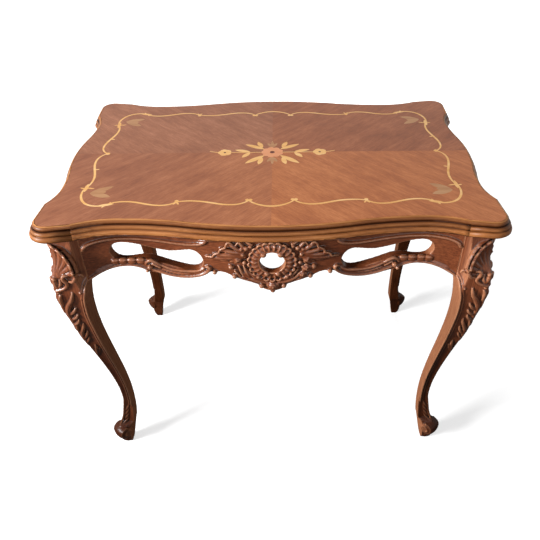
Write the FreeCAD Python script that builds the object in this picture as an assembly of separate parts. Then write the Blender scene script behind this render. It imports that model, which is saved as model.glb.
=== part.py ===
import FreeCAD
import Part
import math
import os
from collections import namedtuple

# Occasional table: a serpentine top with veneer and marquetry, four pierced and carved aprons, and four
# cabriole legs with scroll toes. Millimetres. The origin is on the floor under the middle of the top,
# +X runs along the long front to the right, +Y to the back and +Z up.

Vector = FreeCAD.Vector
UP = Vector(0, 0, 1)

# Overall heights
TABLE_HEIGHT = 580.0
TOP_THICKNESS = 24.0
VENEER_THICKNESS = 1.0

# Long side of the veneered field: distance out from the middle, and place along the side
FRONT_BULGE = 235.0
FRONT_WAIST = 211.5
FRONT_CUSP = 226.0
FRONT_INFLECTION_AT = 128.0
FRONT_WAIST_AT = 235.0
FRONT_CUSP_AT = 301.0

# Short side of the field
SIDE_BULGE = 352.5
SIDE_WAIST = 341.0
SIDE_CUSP = 354.0
SIDE_INFLECTION_AT = 62.0
SIDE_WAIST_AT = 118.0
SIDE_CUSP_AT = 168.0

# Ears at the corners of the field
EAR_CORNER_X = 357.0
EAR_CORNER_Y = 235.0
EAR_ROUND = 19.0

# Edge moulding: reach out from the field and drop below its surface
BEAD_REACH = 5.2
BEAD_DROP = 6.0
QUIRK_DEPTH = 0.9
QUIRK_DROP = 7.6
REED_REACH = 9.6
REED_DROP = 13.4
NICK_DEPTH = 0.7
NICK_DROP = 14.6
OVOLO_REACH = 13.0
OVOLO_DROP = 20.0
FILLET_DROP = 22.0
COVE_REACH = 11.0
BEAD_SWELL = 0.22
REED_SWELL = 0.2
OVOLO_SWELL = 0.12
COVE_HOLLOW = 0.2

# Legs: square sections set with one corner, the arris, on the diagonal
ARRIS_X = 343.5
ARRIS_Y = 220.8
POST_SIDE = 42.0
KNEE_DEPTH = 96.5
KNEE_SWELL = 11.0
ANKLE_HEIGHT = 125.0
ANKLE_SIDE = 20.0
KNEE_SIDE = 48.0
ANKLE_RETREAT = 41.5
TAPER_POWER = 1.8
SHOULDER_POWER = 14.0
ARRIS_CHAMFER = 3.0
HEEL_CHAMFER = 2.5
FACE_HOLLOW = 1.6
EDGE_BEAD_WIDTH = 5.0
EDGE_BEAD_SWELL = 0.9
POST_STATIONS = (0.0, 0.5, 0.8, 1.0)
SHAFT_STATIONS = (0.03, 0.08, 0.18, 0.35, 0.55, 0.78, 1.0)

# Scroll toe, measured out along the diagonal from the ankle's arris
SHIN_HEIGHT = 62.0
SHIN_REACH = 12.0
SHIN_SIDE = 25.0
TOE_REACH = 33.0
TOE_HEIGHT = 40.0
TOE_HALF_WIDTH = 15.5
HEEL_RETREAT = 18.0
SOLE_HEEL = -4.0
SOLE_TOE = 15.0
SOLE_HALF_WIDTH = 9.0
CALF_REACH = 3.6
CALF_SIDE = 21.7
FOOT_CHAMFER = 10.0
FOOT_SWELL = 1.5
FOOT_EDGE = 0.5
SOLE_CHAMFER = 5.0
FOOT_STATIONS = ((53.6, 0.86, 0.98), (46.6, 1.0, 1.0), (28.0, 0.95, 0.97), (13.6, 0.8, 0.87))
SCROLL_RADIUS = 17.0
SCROLL_HALF_WIDTH = 15.0
SCROLL_CROWN = 3.0
SCROLL_EYE_RADIUS = 6.0
SCROLL_EYE_RELIEF = 2.0

# Aprons: set back from the edge of the field, and depths down from the underside of the top
APRON_THICKNESS = 16.0
FRONT_SETBACK = 11.0
SIDE_SETBACK = 19.0
ARCH_DEPTH = 76.0
BALL_DEPTH = 87.5
BELLY_DEPTH = 95.0
WING_DEPTH = 80.0
WING_CREST_DEPTH = 77.0
LEAF_DEPTH = 86.0
ROSE_DEPTH = 100.0
DROP_DEPTH = 114.0

# Stations along a long apron, from its middle
FRONT_ROSE_AT = 24.0
FRONT_LEAF_AT = 64.0
FRONT_CREST_AT = 86.0
FRONT_WING_AT = 102.0
FRONT_BELLY_AT = 150.0
FRONT_BALL_AT = 204.0
FRONT_ARCH_AT = 240.0
FRONT_SLOT_START = 114.0
FRONT_SLOT_END = 260.0

# Stations along a short apron
SIDE_ROSE_AT = 22.0
SIDE_LEAF_AT = 46.0
SIDE_CREST_AT = 57.0
SIDE_WING_AT = 66.0
SIDE_BELLY_AT = 86.0
SIDE_BALL_AT = 112.0
SIDE_ARCH_AT = 131.0
SIDE_SLOT_START = 70.0
SIDE_SLOT_END = 143.0

# Pierced slots: depths of their outline below the top
SLOT_TOP_INNER = 40.0
SLOT_TOP_DIP = 2.0
SLOT_TOP_OUTER = 31.5
SLOT_SILL_INNER = 77.0
SLOT_SILL_OUTER = 62.0
SLOT_CORNER = 8.0

# Wreath carved round the hole in the middle of each apron
WREATH_DEPTH = 50.0
WREATH_HOLE_RADIUS = 20.0
WREATH_RADIUS = 37.0
WREATH_RELIEF = 7.0
WREATH_RIM = 2.0

# Joinery
DOWEL_RADIUS = 3.0
DOWEL_LENGTH = 24.0
DOWEL_DEPTHS = (22.0, 66.0)
BLOCK_LENGTH = 30.0
BLOCK_HEIGHT = 22.0
BLOCK_DEPTH = 40.0
SCREW_RADIUS = 2.0
SCREW_HEAD_RADIUS = 4.0
SCREW_HEAD_HEIGHT = 2.4
SCREW_LENGTH = 37.0

# Marquetry border: a waving vine set in from the waist of each side
VINE_MARGIN_FRONT = 34.5
VINE_MARGIN_SIDE = 31.0
VINE_WAVE = 12.5
VINE_WIDTH = 4.0
VINE_TIP = 2.5
VINE_CUSP_AT = 36.0
VINE_KNOT_AT = 150.0
VINE_SHEATH_AT = 260.0
CORNER_KNOT_AT = 121.0
CURL_RADIUS = 3.2
CURL_SPREAD = 0.8
BARB_LENGTH = 9.0
BARB_WIDTH = 3.2
SHEATH_LENGTH = 26.0
SHEATH_WIDTH = 6.5
BARB_OUT = 20
BARB_BACK = -60
CORNER_MOTIF_IN = 47.0
CORNER_MOTIF_BACK = 17.0
CORNER_LEAVES = ((-34.0, 21.0, 13.0), (-26.0, 4.0, 14.0), (-36.0, -12.0, 13.0))
# Waves of the vine: share of the way along, and share of the wave's depth
FIRST_WAVE = ((0.1, 0.7), (0.26, 1.0), (0.52, 0.45), (0.78, 0.0), (1.0, 0.2))
SECOND_WAVE = ((0.0, 0.2), (0.1, 0.75), (0.24, 1.0), (0.5, 0.4), (0.72, 0.0))
SWAG_SHOULDER = (0.72, 0.75)
SWAG_CROWN = 1.4
# Run of the vine up the side: share of the way from the middle, and distance in from the outer line
SIDE_WAVE = ((0.8, 11.0), (0.62, 8.5), (0.4, 1.0), (0.2, -1.0), (0.07, 3.0))

# Marquetry spray in the middle
ROSE_RADIUS = 20.0
ROSE_PETALS = 9
ROSE_EYE_RADIUS = 4.4
FLOWER_AT = 86.0
FLOWER_RADIUS = 12.5
FLOWER_PETALS = 5
FLOWER_EYE_RADIUS = 2.2
STEM_WIDTH = 2.0
STEM_TIP = 1.4
PETAL_WAIST = 0.86
BUD_WIDTH = 6.0
BUD_LEANS = (-0.45, 0.0, 0.45)
BUD_REACH = (0.9, 2.3)
# Places in the spray as shares of the rose's radius: leaves from base to tip with their width, then stems
SPRAY_LEAVES = (
    ((0.7, 0.6), (2.5, 1.6), 10.0),
    ((0.9, 0.9), (1.35, 2.1), 9.0),
    ((2.0, 0.1), (3.4, 0.5), 9.0),
    ((2.0, 0.0), (2.7, -1.0), 9.0),
    ((0.7, -0.6), (2.4, -2.1), 11.0),
    ((0.9, -1.0), (1.2, -2.3), 9.0),
)
INNER_STEM = ((0.8, 0.0), (2.1, 0.0), (4.0, 0.0))
OUTER_STEM = ((4.6, 0.0), (5.2, 0.1), (5.7, 0.3))

UNDERSIDE = TABLE_HEIGHT - TOP_THICKNESS
FIELD_BASE = TABLE_HEIGHT - VENEER_THICKNESS
SEAM_X = ARRIS_X - POST_SIDE
SEAM_Y = ARRIS_Y - POST_SIDE
BEYOND = 1000.0

SweepArc = namedtuple("SweepArc", "along out radius sense end")
Elevation = namedtuple("Elevation", "seam rose leaf crest wing belly ball arch slot_start slot_end")

FRONT_ELEVATION = Elevation(
    SEAM_X, FRONT_ROSE_AT, FRONT_LEAF_AT, FRONT_CREST_AT, FRONT_WING_AT, FRONT_BELLY_AT, FRONT_BALL_AT,
    FRONT_ARCH_AT, FRONT_SLOT_START, FRONT_SLOT_END)
SIDE_ELEVATION = Elevation(
    SEAM_Y, SIDE_ROSE_AT, SIDE_LEAF_AT, SIDE_CREST_AT, SIDE_WING_AT, SIDE_BELLY_AT, SIDE_BALL_AT,
    SIDE_ARCH_AT, SIDE_SLOT_START, SIDE_SLOT_END)


def turned(shape, quarter):
    """Copy of a shape made for the front, turned to the right, back or left."""
    copy = shape.copy()
    copy.rotate(Vector(), UP, 90 * quarter)
    return copy


def mirrored(shape, across_x, across_y):
    """Copy of a shape made for the front right, mirrored to another corner."""
    copy = shape.copy()
    if across_x:
        copy = copy.mirror(Vector(), Vector(1, 0, 0))
    if across_y:
        copy = copy.mirror(Vector(), Vector(0, 1, 0))
    return copy


def fused(shapes):
    """One solid from overlapping or touching shapes, without the seams between them."""
    shapes = list(shapes)
    return shapes[0].multiFuse(shapes[1:]).removeSplitter()


def prism(edges, bottom, top):
    """Upright solid on a closed outline in plan."""
    face = Part.Face(Part.Wire(Part.__sortEdges__(edges)))
    face.translate(UP * bottom)
    return face.extrude(UP * (top - bottom))


def arc(start, middle, end):
    return Part.Arc(start, middle, end).toShape()


def spline(points):
    curve = Part.BSplineCurve()
    curve.interpolate(points)
    return curve


def unit(vector):
    return vector * (1.0 / vector.Length)


def round_corner(before, corner, after, tangent):
    """Start, middle and end of the arc that rounds a corner, and its centre."""
    back = unit(before - corner)
    onward = unit(after - corner)
    half = back.getAngle(onward) / 2
    bisector = unit(back + onward)
    centre = corner + bisector * (tangent / math.cos(half))
    radius = tangent * math.tan(half)
    return corner + back * tangent, centre - bisector * radius, corner + onward * tangent, centre


def serpentine(bulge, waist, cusp, inflection_at, waist_at, cusp_at):
    """Half a serpentine side, from its middle: a bulge, a hollow, and a tighter hollow up to the cusp."""
    turn = 2 * math.atan((bulge - waist) / waist_at)
    bulge_radius = inflection_at / math.sin(turn)
    waist_radius = (waist_at - inflection_at) / math.sin(turn)
    reach = cusp_at - waist_at
    rise = cusp - waist
    cusp_radius = (reach**2 + rise**2) / (2 * rise)
    return (
        SweepArc(0.0, bulge - bulge_radius, bulge_radius, 1, inflection_at),
        SweepArc(waist_at, waist + waist_radius, waist_radius, -1, waist_at),
        SweepArc(waist_at, waist + cusp_radius, cusp_radius, -1, cusp_at),
    )


def whole_side(half, end):
    """Every arc of a side with the places where it starts and ends, left to right."""
    middle, waist, cusp = half
    right = [(waist, middle.end, waist.end), (cusp, waist.end, end)]
    left = [(item._replace(along=-item.along), -stop, -start) for item, start, stop in reversed(right)]
    return left + [(middle, -middle.end, middle.end)] + right


def on_side(item, along, offset=0.0):
    """Point of a side in plan, in front of the origin, moved out by an offset."""
    grow = (item.radius + item.sense * offset) / item.radius
    out = item.sense * math.sqrt(item.radius**2 - (along - item.along) ** 2)
    return Vector(item.along + (along - item.along) * grow, -(item.out + out * grow), 0)


def side_out(half, along, offset):
    """Distance of an offset side from the middle, near the cusp."""
    cusp = half[2]
    radius = cusp.radius + cusp.sense * offset
    return cusp.out + cusp.sense * math.sqrt(radius**2 - (along - cusp.along) ** 2)


def side_edges(half, end, offset=0.0):
    edges = []
    for item, start, stop in whole_side(half, end):
        middle = on_side(item, (start + stop) / 2, offset)
        edges.append(arc(on_side(item, start, offset), middle, on_side(item, stop, offset)))
    return edges


FRONT = serpentine(
    FRONT_BULGE, FRONT_WAIST, FRONT_CUSP, FRONT_INFLECTION_AT, FRONT_WAIST_AT, FRONT_CUSP_AT)
SIDE = serpentine(SIDE_BULGE, SIDE_WAIST, SIDE_CUSP, SIDE_INFLECTION_AT, SIDE_WAIST_AT, SIDE_CUSP_AT)
EAR_FRONT = Vector(FRONT_CUSP_AT, -FRONT_CUSP, 0)
EAR_CORNER = Vector(EAR_CORNER_X, -EAR_CORNER_Y, 0)
EAR_SIDE = Vector(SIDE_CUSP, -SIDE_CUSP_AT, 0)


def ear_round():
    angle = (EAR_FRONT - EAR_CORNER).getAngle(EAR_SIDE - EAR_CORNER)
    return round_corner(EAR_FRONT, EAR_CORNER, EAR_SIDE, EAR_ROUND / math.tan(angle / 2))


def field_outline():
    """Closed outline of the veneered field."""
    start, middle, end, _ = ear_round()
    ear = [Part.makeLine(EAR_FRONT, start), arc(start, middle, end), Part.makeLine(end, EAR_SIDE)]
    edges = []
    for quarter, half, end_at in ((0, FRONT, FRONT_CUSP_AT), (1, SIDE, SIDE_CUSP_AT)):
        for edge in side_edges(half, end_at):
            edges += [turned(edge, quarter), turned(edge, quarter + 2)]
    for across_x in (False, True):
        for across_y in (False, True):
            edges += [mirrored(edge, across_x, across_y) for edge in ear]
    return edges


def moulding_section(point, out):
    """Section of the edge moulding, standing against the edge of the field."""

    def at(reach, drop):
        return Vector(point.x + out.x * reach, point.y + out.y * reach, TABLE_HEIGHT - drop)

    inner_top = at(0, VENEER_THICKNESS)
    bead_start = at(QUIRK_DEPTH, 0)
    bead_end = at(BEAD_REACH, BEAD_DROP)
    quirk = at(BEAD_REACH - QUIRK_DEPTH, QUIRK_DROP)
    reed_start = at(BEAD_REACH + QUIRK_DEPTH, QUIRK_DROP)
    reed_end = at(REED_REACH, REED_DROP)
    nick = at(REED_REACH - NICK_DEPTH, NICK_DROP)
    ovolo_start = at(REED_REACH + NICK_DEPTH, NICK_DROP)
    ovolo_end = at(OVOLO_REACH, OVOLO_DROP)
    fillet = at(OVOLO_REACH, FILLET_DROP)
    cove_end = at(COVE_REACH, TOP_THICKNESS)
    inner_bottom = at(0, TOP_THICKNESS)

    def swell(start, end, outward):
        """Arc from one point to the next that swells away from its chord."""
        chord = end - start
        return arc(start, (start + end) * 0.5 + chord.cross(out.cross(UP)) * outward, end)

    edges = [
        Part.makeLine(inner_top, bead_start),
        swell(bead_start, bead_end, -BEAD_SWELL),
        Part.makeLine(bead_end, quirk),
        Part.makeLine(quirk, reed_start),
        swell(reed_start, reed_end, -REED_SWELL),
        Part.makeLine(reed_end, nick),
        Part.makeLine(nick, ovolo_start),
        swell(ovolo_start, ovolo_end, -OVOLO_SWELL),
        Part.makeLine(ovolo_end, fillet),
        swell(fillet, cove_end, COVE_HOLLOW),
        Part.makeLine(cove_end, inner_bottom),
        Part.makeLine(inner_bottom, inner_top),
    ]
    return Part.Face(Part.Wire(edges))


def swept_round(centre, start, end, sense):
    """Moulding round an arc of the outline."""
    first = start - centre
    last = end - centre
    turn = math.atan2(first.cross(last).z, first.dot(last))
    return moulding_section(start, unit(first) * sense).revolve(centre, UP, math.degrees(turn))


def mitre(point, arc_item, corner):
    """Direction across the mitre at a cusp, from the serpentine side to the ear."""
    centre = Vector(arc_item.along, -arc_item.out, 0)
    side_out_normal = unit(centre - point)
    ear_run = unit(corner - point)
    ear_out = Vector(ear_run.y, -ear_run.x, 0)
    if ear_out.dot(point) < 0:
        ear_out = ear_out * -1
    bisector = unit(side_out_normal + ear_out)
    across = Vector(-bisector.y, bisector.x, 0)
    return across if across.dot(ear_run) > 0 else across * -1


def half_space(point, direction):
    """Everything near a plane, on the side that the direction points to."""
    return Part.makeCylinder(BEYOND, BEYOND, Vector(point.x, point.y, TABLE_HEIGHT), direction)


def side_moulding(half, end, cusp_point, corner):
    """Moulding along one serpentine side, mitred at both cusps, made for the front."""
    pieces = []
    for item, start, stop in whole_side(half, end + OVOLO_REACH):
        centre = Vector(item.along, -item.out, 0)
        pieces.append(swept_round(centre, on_side(item, start), on_side(item, stop), item.sense))
    waste = half_space(cusp_point, mitre(cusp_point, half[2], corner))
    return fused(pieces).cut(waste).cut(mirrored(waste, True, False))


def in_front(point):
    """A point of the right side turned to the front, with the ear on its right."""
    return Vector(-point.y, -point.x, 0)


def ear_moulding():
    """Moulding round the front right ear, mitred at its two cusps."""
    start, middle, end, centre = ear_round()
    pieces = [swept_round(centre, start, end, 1)]
    for cusp, tangent in ((EAR_FRONT, start), (EAR_SIDE, end)):
        run = unit(cusp - tangent)
        out = unit(tangent - centre)
        length = (cusp - tangent).Length + OVOLO_REACH
        pieces.append(moulding_section(tangent, out).extrude(run * length))
    front_waste = half_space(EAR_FRONT, mitre(EAR_FRONT, FRONT[2], EAR_CORNER) * -1)
    side_across = mitre(in_front(EAR_SIDE), SIDE[2], in_front(EAR_CORNER))
    side_waste = half_space(EAR_SIDE, Vector(side_across.y, side_across.x, 0))
    return fused(pieces).cut(front_waste).cut(side_waste)


def level_arc(crest, end):
    """Arc in an elevation that leaves its crest level and runs to an end."""
    run = end.x - crest.x
    rise = end.z - crest.z
    radius = (run**2 + rise**2) / (2 * abs(rise))
    half_turn = math.atan(abs(rise / run))
    reach = math.copysign(radius * math.sin(half_turn), run)
    lift = math.copysign(radius * (1 - math.cos(half_turn)), rise)
    return arc(crest, crest + Vector(reach, 0, lift), end)


def apron_outline(plan):
    """Outline of an apron seen from the front, as edges in the XZ plane."""

    def at(along, depth):
        return Vector(along, 0, UNDERSIDE - depth)

    seam = at(plan.seam, KNEE_DEPTH)
    arch = at(plan.arch, ARCH_DEPTH)
    ball = at(plan.ball, BALL_DEPTH)
    belly = at(plan.belly, BELLY_DEPTH)
    wing = at(plan.wing, WING_DEPTH)
    crest = at(plan.crest, WING_CREST_DEPTH)
    leaf = at(plan.leaf, LEAF_DEPTH)
    rose = at(plan.rose, ROSE_DEPTH)
    drop = at(0, DROP_DEPTH)
    right = [
        Part.makeLine(at(plan.seam, 0), seam),
        level_arc(arch, seam),
        level_arc(arch, ball),
        level_arc(belly, ball),
        level_arc(belly, wing),
        level_arc(crest, wing),
        level_arc(crest, leaf),
        Part.makeLine(leaf, rose),
        level_arc(drop, rose),
    ]
    edges = [Part.makeLine(at(-plan.seam, 0), at(plan.seam, 0))]
    for edge in right:
        edges += [edge, mirrored(edge, True, False)]
    return edges


def slot_outline(plan):
    """Outline of the pierced slot right of the wreath, as one closed curve in the XZ plane."""

    def at(along, depth):
        return Vector(along, 0, UNDERSIDE - depth)

    corner = SLOT_CORNER
    points = [
        at(plan.slot_start, SLOT_SILL_INNER - corner),
        at(plan.slot_start, SLOT_TOP_INNER + corner),
        at(plan.slot_start + corner, SLOT_TOP_INNER),
        at(plan.belly, SLOT_TOP_INNER + SLOT_TOP_DIP),
        at((plan.ball + plan.arch) / 2, SLOT_TOP_OUTER),
        at(plan.slot_end - corner / 2, SLOT_TOP_OUTER + corner / 2),
        at(plan.slot_end, (SLOT_TOP_OUTER + SLOT_SILL_OUTER) / 2),
        at(plan.slot_end - corner, SLOT_SILL_OUTER),
        at(plan.ball, SLOT_SILL_OUTER),
        at((plan.belly + plan.ball) / 2, (SLOT_SILL_INNER + SLOT_SILL_OUTER) / 2),
        at(plan.belly, SLOT_SILL_INNER),
        at(plan.slot_start + corner, SLOT_SILL_INNER),
    ]
    curve = Part.BSplineCurve()
    curve.interpolate(points, PeriodicFlag=True)
    return [curve.toShape()]


def through(edges):
    """Solid that runs front to back behind an outline in the XZ plane."""
    face = Part.Face(Part.Wire(Part.__sortEdges__(edges)))
    face.translate(Vector(0, -BEYOND, 0))
    return face.extrude(Vector(0, BEYOND, 0))


def serpentine_slab(half, seam, outer, inner):
    """Upright slab between two offsets of a serpentine side."""
    end = seam + APRON_THICKNESS
    outside = side_edges(half, end, -outer)
    inside = side_edges(half, end, -inner)
    ends = []
    for index, vertex in ((0, 0), (-1, -1)):
        corner = outside[index].Vertexes[vertex].Point
        ends.append(Part.makeLine(corner, inside[index].Vertexes[vertex].Point))
    return prism(outside + inside + ends, 0, UNDERSIDE)


def apron(half, setback, plan):
    """Serpentine apron with two pierced slots and a wreath, made for the front."""
    slab = serpentine_slab(half, plan.seam, setback, setback + APRON_THICKNESS)
    slot = through(slot_outline(plan))
    board = slab.common(through(apron_outline(plan))).cut(slot).cut(mirrored(slot, True, False))
    face = half[0].out + half[0].radius - setback
    centre = Vector(0, -face, UNDERSIDE - WREATH_DEPTH)

    def at(radius, relief):
        return centre + Vector(radius, -relief, 0)

    rim = [
        at(WREATH_HOLE_RADIUS, -APRON_THICKNESS / 2),
        at(WREATH_HOLE_RADIUS, WREATH_RELIEF - WREATH_RIM),
        at(WREATH_HOLE_RADIUS + WREATH_RIM, WREATH_RELIEF),
        at(WREATH_RADIUS - WREATH_RELIEF, WREATH_RELIEF),
        at(WREATH_RADIUS, WREATH_RIM),
        at(WREATH_RADIUS, -APRON_THICKNESS / 2),
    ]
    section = Part.Face(Part.makePolygon(rim + rim[:1]))
    wreath = section.revolve(centre, Vector(0, 1, 0), 360)
    hole = Part.makeCylinder(WREATH_HOLE_RADIUS, BEYOND, centre - Vector(0, BEYOND / 2, 0), Vector(0, 1, 0))
    return board.fuse(wreath).removeSplitter().cut(hole)


def board_middle(half, setback, along):
    """Distance out to the middle of the apron's thickness, near the leg."""
    face = side_out(half, along, -setback)
    back = side_out(half, along, -setback - APRON_THICKNESS)
    return (face + back) / 2


def apron_dowels(half, setback, seam):
    """Dowels across both ends of one apron, made for the front."""
    out = board_middle(half, setback, seam - DOWEL_LENGTH / 4)
    dowels = []
    for end in (-seam, seam):
        for depth in DOWEL_DEPTHS:
            start = Vector(end - DOWEL_LENGTH / 2, -out, UNDERSIDE - depth)
            dowels.append(Part.makeCylinder(DOWEL_RADIUS, DOWEL_LENGTH, start, Vector(1, 0, 0)))
    return dowels


def glue_block(half, setback, seam, post_corner):
    """Block in the angle between the right end of an apron and the leg, made for the front."""
    back = setback + APRON_THICKNESS
    slab = serpentine_slab(half, seam, back, back + BLOCK_DEPTH)
    corner = Vector(seam - BLOCK_LENGTH, -BEYOND, UNDERSIDE - BLOCK_HEIGHT)
    return slab.common(Part.makeBox(BLOCK_LENGTH, BEYOND - post_corner, BLOCK_HEIGHT, corner))


def block_screw(half, setback, seam, post_corner):
    """Countersunk screw up through the right glue block into the top, made for the front."""
    along = seam - BLOCK_LENGTH / 2
    out = (side_out(half, along, -setback - APRON_THICKNESS) + post_corner) / 2
    foot = Vector(along, -out, UNDERSIDE - BLOCK_HEIGHT)

    def at(radius, height):
        return foot + Vector(radius, 0, height)

    outline = [
        at(0, 0),
        at(SCREW_HEAD_RADIUS, 0),
        at(SCREW_RADIUS, SCREW_HEAD_HEIGHT),
        at(SCREW_RADIUS, SCREW_LENGTH - SCREW_RADIUS),
        at(0, SCREW_LENGTH),
    ]
    return Part.Face(Part.makePolygon(outline + outline[:1])).revolve(foot, UP, 360)


LegSection = namedtuple("LegSection", "height outer inner half_width chamfer hollow bead")


def leg_wire(section):
    """Section of the front right leg: a kite on the diagonal with a hollow and a bead on its outer faces."""
    diagonal = unit(Vector(1, -1, 0))
    across = unit(Vector(1, 1, 0))
    arris = Vector(ARRIS_X, -ARRIS_Y, section.height)
    middle = (section.outer + section.inner) / 2
    toe = arris + diagonal * section.outer
    heel = arris + diagonal * section.inner
    right = arris + diagonal * middle + across * section.half_width
    left = arris + diagonal * middle - across * section.half_width
    toe_start, toe_middle, toe_end, _ = round_corner(left, toe, right, section.chamfer)
    heel_start, heel_middle, heel_end, _ = round_corner(right, heel, left, HEEL_CHAMFER)

    def outer_face(start, corner):
        """Hollow from the arris, then the bead along the edge."""
        run = unit(corner - start)
        inward = unit(heel - toe)
        normal = unit(inward - run * inward.dot(run))
        bead = corner - run * EDGE_BEAD_WIDTH
        hollow_middle = (start + bead) * 0.5 + normal * section.hollow
        bead_middle = (bead + corner) * 0.5 - normal * section.bead
        return [arc(start, hollow_middle, bead), arc(bead, bead_middle, corner)]

    right_face = outer_face(toe_end, right)
    left_face = outer_face(toe_start, left)
    return Part.Wire([
        arc(toe_start, toe_middle, toe_end),
        *right_face,
        Part.makeLine(right, heel_start),
        arc(heel_start, heel_middle, heel_end),
        Part.makeLine(heel_end, left),
        left_face[1],
        left_face[0],
    ])


def square_section(height, outer, side):
    """Square section with its arris moved out along the diagonal."""
    diagonal = side * math.sqrt(2)
    return LegSection(height, outer, outer - diagonal, diagonal / 2, ARRIS_CHAMFER, FACE_HOLLOW,
                      EDGE_BEAD_SWELL)


def toe_scroll(reach):
    """Barrel of the upturned scroll across the toe of the front right leg, with an eye on each end."""
    across = unit(Vector(1, 1, 0))
    centre = Vector(ARRIS_X, -ARRIS_Y, TOE_HEIGHT) + unit(Vector(1, -1, 0)) * (reach - SCROLL_RADIUS)

    def at(along, radius):
        return centre + across * along + UP * radius

    end = SCROLL_HALF_WIDTH
    shoulder = SCROLL_RADIUS - SCROLL_CROWN
    tip = end + SCROLL_EYE_RELIEF
    edges = [
        Part.makeLine(at(-tip, 0), at(-tip, SCROLL_EYE_RADIUS)),
        Part.makeLine(at(-tip, SCROLL_EYE_RADIUS), at(-end, shoulder)),
        arc(at(-end, shoulder), at(0, SCROLL_RADIUS), at(end, shoulder)),
        Part.makeLine(at(end, shoulder), at(tip, SCROLL_EYE_RADIUS)),
        Part.makeLine(at(tip, SCROLL_EYE_RADIUS), at(tip, 0)),
        Part.makeLine(at(tip, 0), at(-tip, 0)),
    ]
    return Part.Face(Part.Wire(edges)).revolve(centre, across, 360)


def leg():
    """Front right leg: post, cabriole shaft and scroll toe."""
    knee = UNDERSIDE - KNEE_DEPTH
    knee_reach = KNEE_SWELL * math.sqrt(2)
    post = []
    for share in POST_STATIONS:
        swell = KNEE_SWELL * share**2 * (3 - 2 * share)
        post.append(square_section(UNDERSIDE - KNEE_DEPTH * share, swell * math.sqrt(2), POST_SIDE + swell))
    shaft = [post[-1]]
    for share in SHAFT_STATIONS:
        retreat = ANKLE_RETREAT * share**2 * (3 - 2 * share)
        taper = (KNEE_SIDE - ANKLE_SIDE) * (1 - share) ** TAPER_POWER
        shoulder = (POST_SIDE + KNEE_SWELL - KNEE_SIDE) * (1 - share) ** SHOULDER_POWER
        side = ANKLE_SIDE + taper + shoulder
        height = knee + (ANKLE_HEIGHT - knee) * share
        shaft.append(square_section(height, knee_reach - retreat * math.sqrt(2), side))
    ankle = shaft[-1].outer
    middle_height = (ANKLE_HEIGHT + SHIN_HEIGHT) / 2
    shaft.append(square_section(middle_height, ankle + CALF_REACH, CALF_SIDE))
    shaft.append(square_section(SHIN_HEIGHT, ankle + SHIN_REACH, SHIN_SIDE))
    shin = shaft[-1]
    foot = [shin]
    for height, reach, width in FOOT_STATIONS:
        outer = ankle + SHIN_REACH + (TOE_REACH - SHIN_REACH) * reach
        inner = shin.inner + HEEL_RETREAT * (1 - height / SHIN_HEIGHT)
        foot.append(LegSection(height, outer, inner, TOE_HALF_WIDTH * width, FOOT_CHAMFER, -FOOT_SWELL,
                               FOOT_EDGE))
    foot.append(LegSection(0.0, ankle + SOLE_TOE, ankle + SOLE_HEEL, SOLE_HALF_WIDTH, SOLE_CHAMFER,
                           -FOOT_EDGE, FOOT_EDGE))
    lofts = [Part.makeLoft([leg_wire(item) for item in run], True, False) for run in (post, shaft, foot)]
    return fused(lofts + [toe_scroll(ankle + TOE_REACH)])


def ribbon(points, width=VINE_WIDTH, tip=VINE_TIP):
    """Flat stem that follows the points and thins towards both ends."""
    stem = spline(points)
    steps = len(points) - 1
    left = []
    right = []
    for step in range(steps + 1):
        share = step / steps
        value = stem.FirstParameter + (stem.LastParameter - stem.FirstParameter) * share
        tangent = stem.tangent(value)[0]
        half = (tip + (width - tip) * math.sin(math.pi * share)) / 2
        normal = Vector(-tangent.y, tangent.x, 0) * half
        left.append(stem.value(value) + normal)
        right.append(stem.value(value) - normal)
    edges = [
        spline(left).toShape(),
        Part.makeLine(left[-1], right[-1]),
        spline(right).toShape(),
        Part.makeLine(right[0], left[0]),
    ]
    return prism(edges, FIELD_BASE, TABLE_HEIGHT)


def leaf(base, tip, width):
    """Lens-shaped leaf between two points."""
    run = tip - base
    normal = unit(Vector(-run.y, run.x, 0)) * (width / 2)
    middle = base + run * 0.5
    return prism([arc(base, middle + normal, tip), arc(tip, middle - normal, base)], FIELD_BASE, TABLE_HEIGHT)


def disc(centre, radius):
    return Part.makeCylinder(radius, VENEER_THICKNESS, Vector(centre.x, centre.y, FIELD_BASE))


def rosette(centre, radius, petals):
    """Flower with a lobed rim."""
    waist = radius * PETAL_WAIST
    edges = []
    for petal in range(petals):
        points = []
        for share, reach in ((0, waist), (0.5, radius), (1, waist)):
            angle = 2 * math.pi * (petal + share) / petals
            points.append(centre + Vector(math.cos(angle), math.sin(angle), 0) * reach)
        edges.append(arc(*points))
    return prism(edges, FIELD_BASE, TABLE_HEIGHT)


def barb(base, angle, length=BARB_LENGTH, width=BARB_WIDTH):
    """Small thorn that leaves the vine at an angle in degrees."""
    turn = math.radians(angle)
    return leaf(base, base + Vector(math.cos(turn), math.sin(turn), 0) * length, width)


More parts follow.
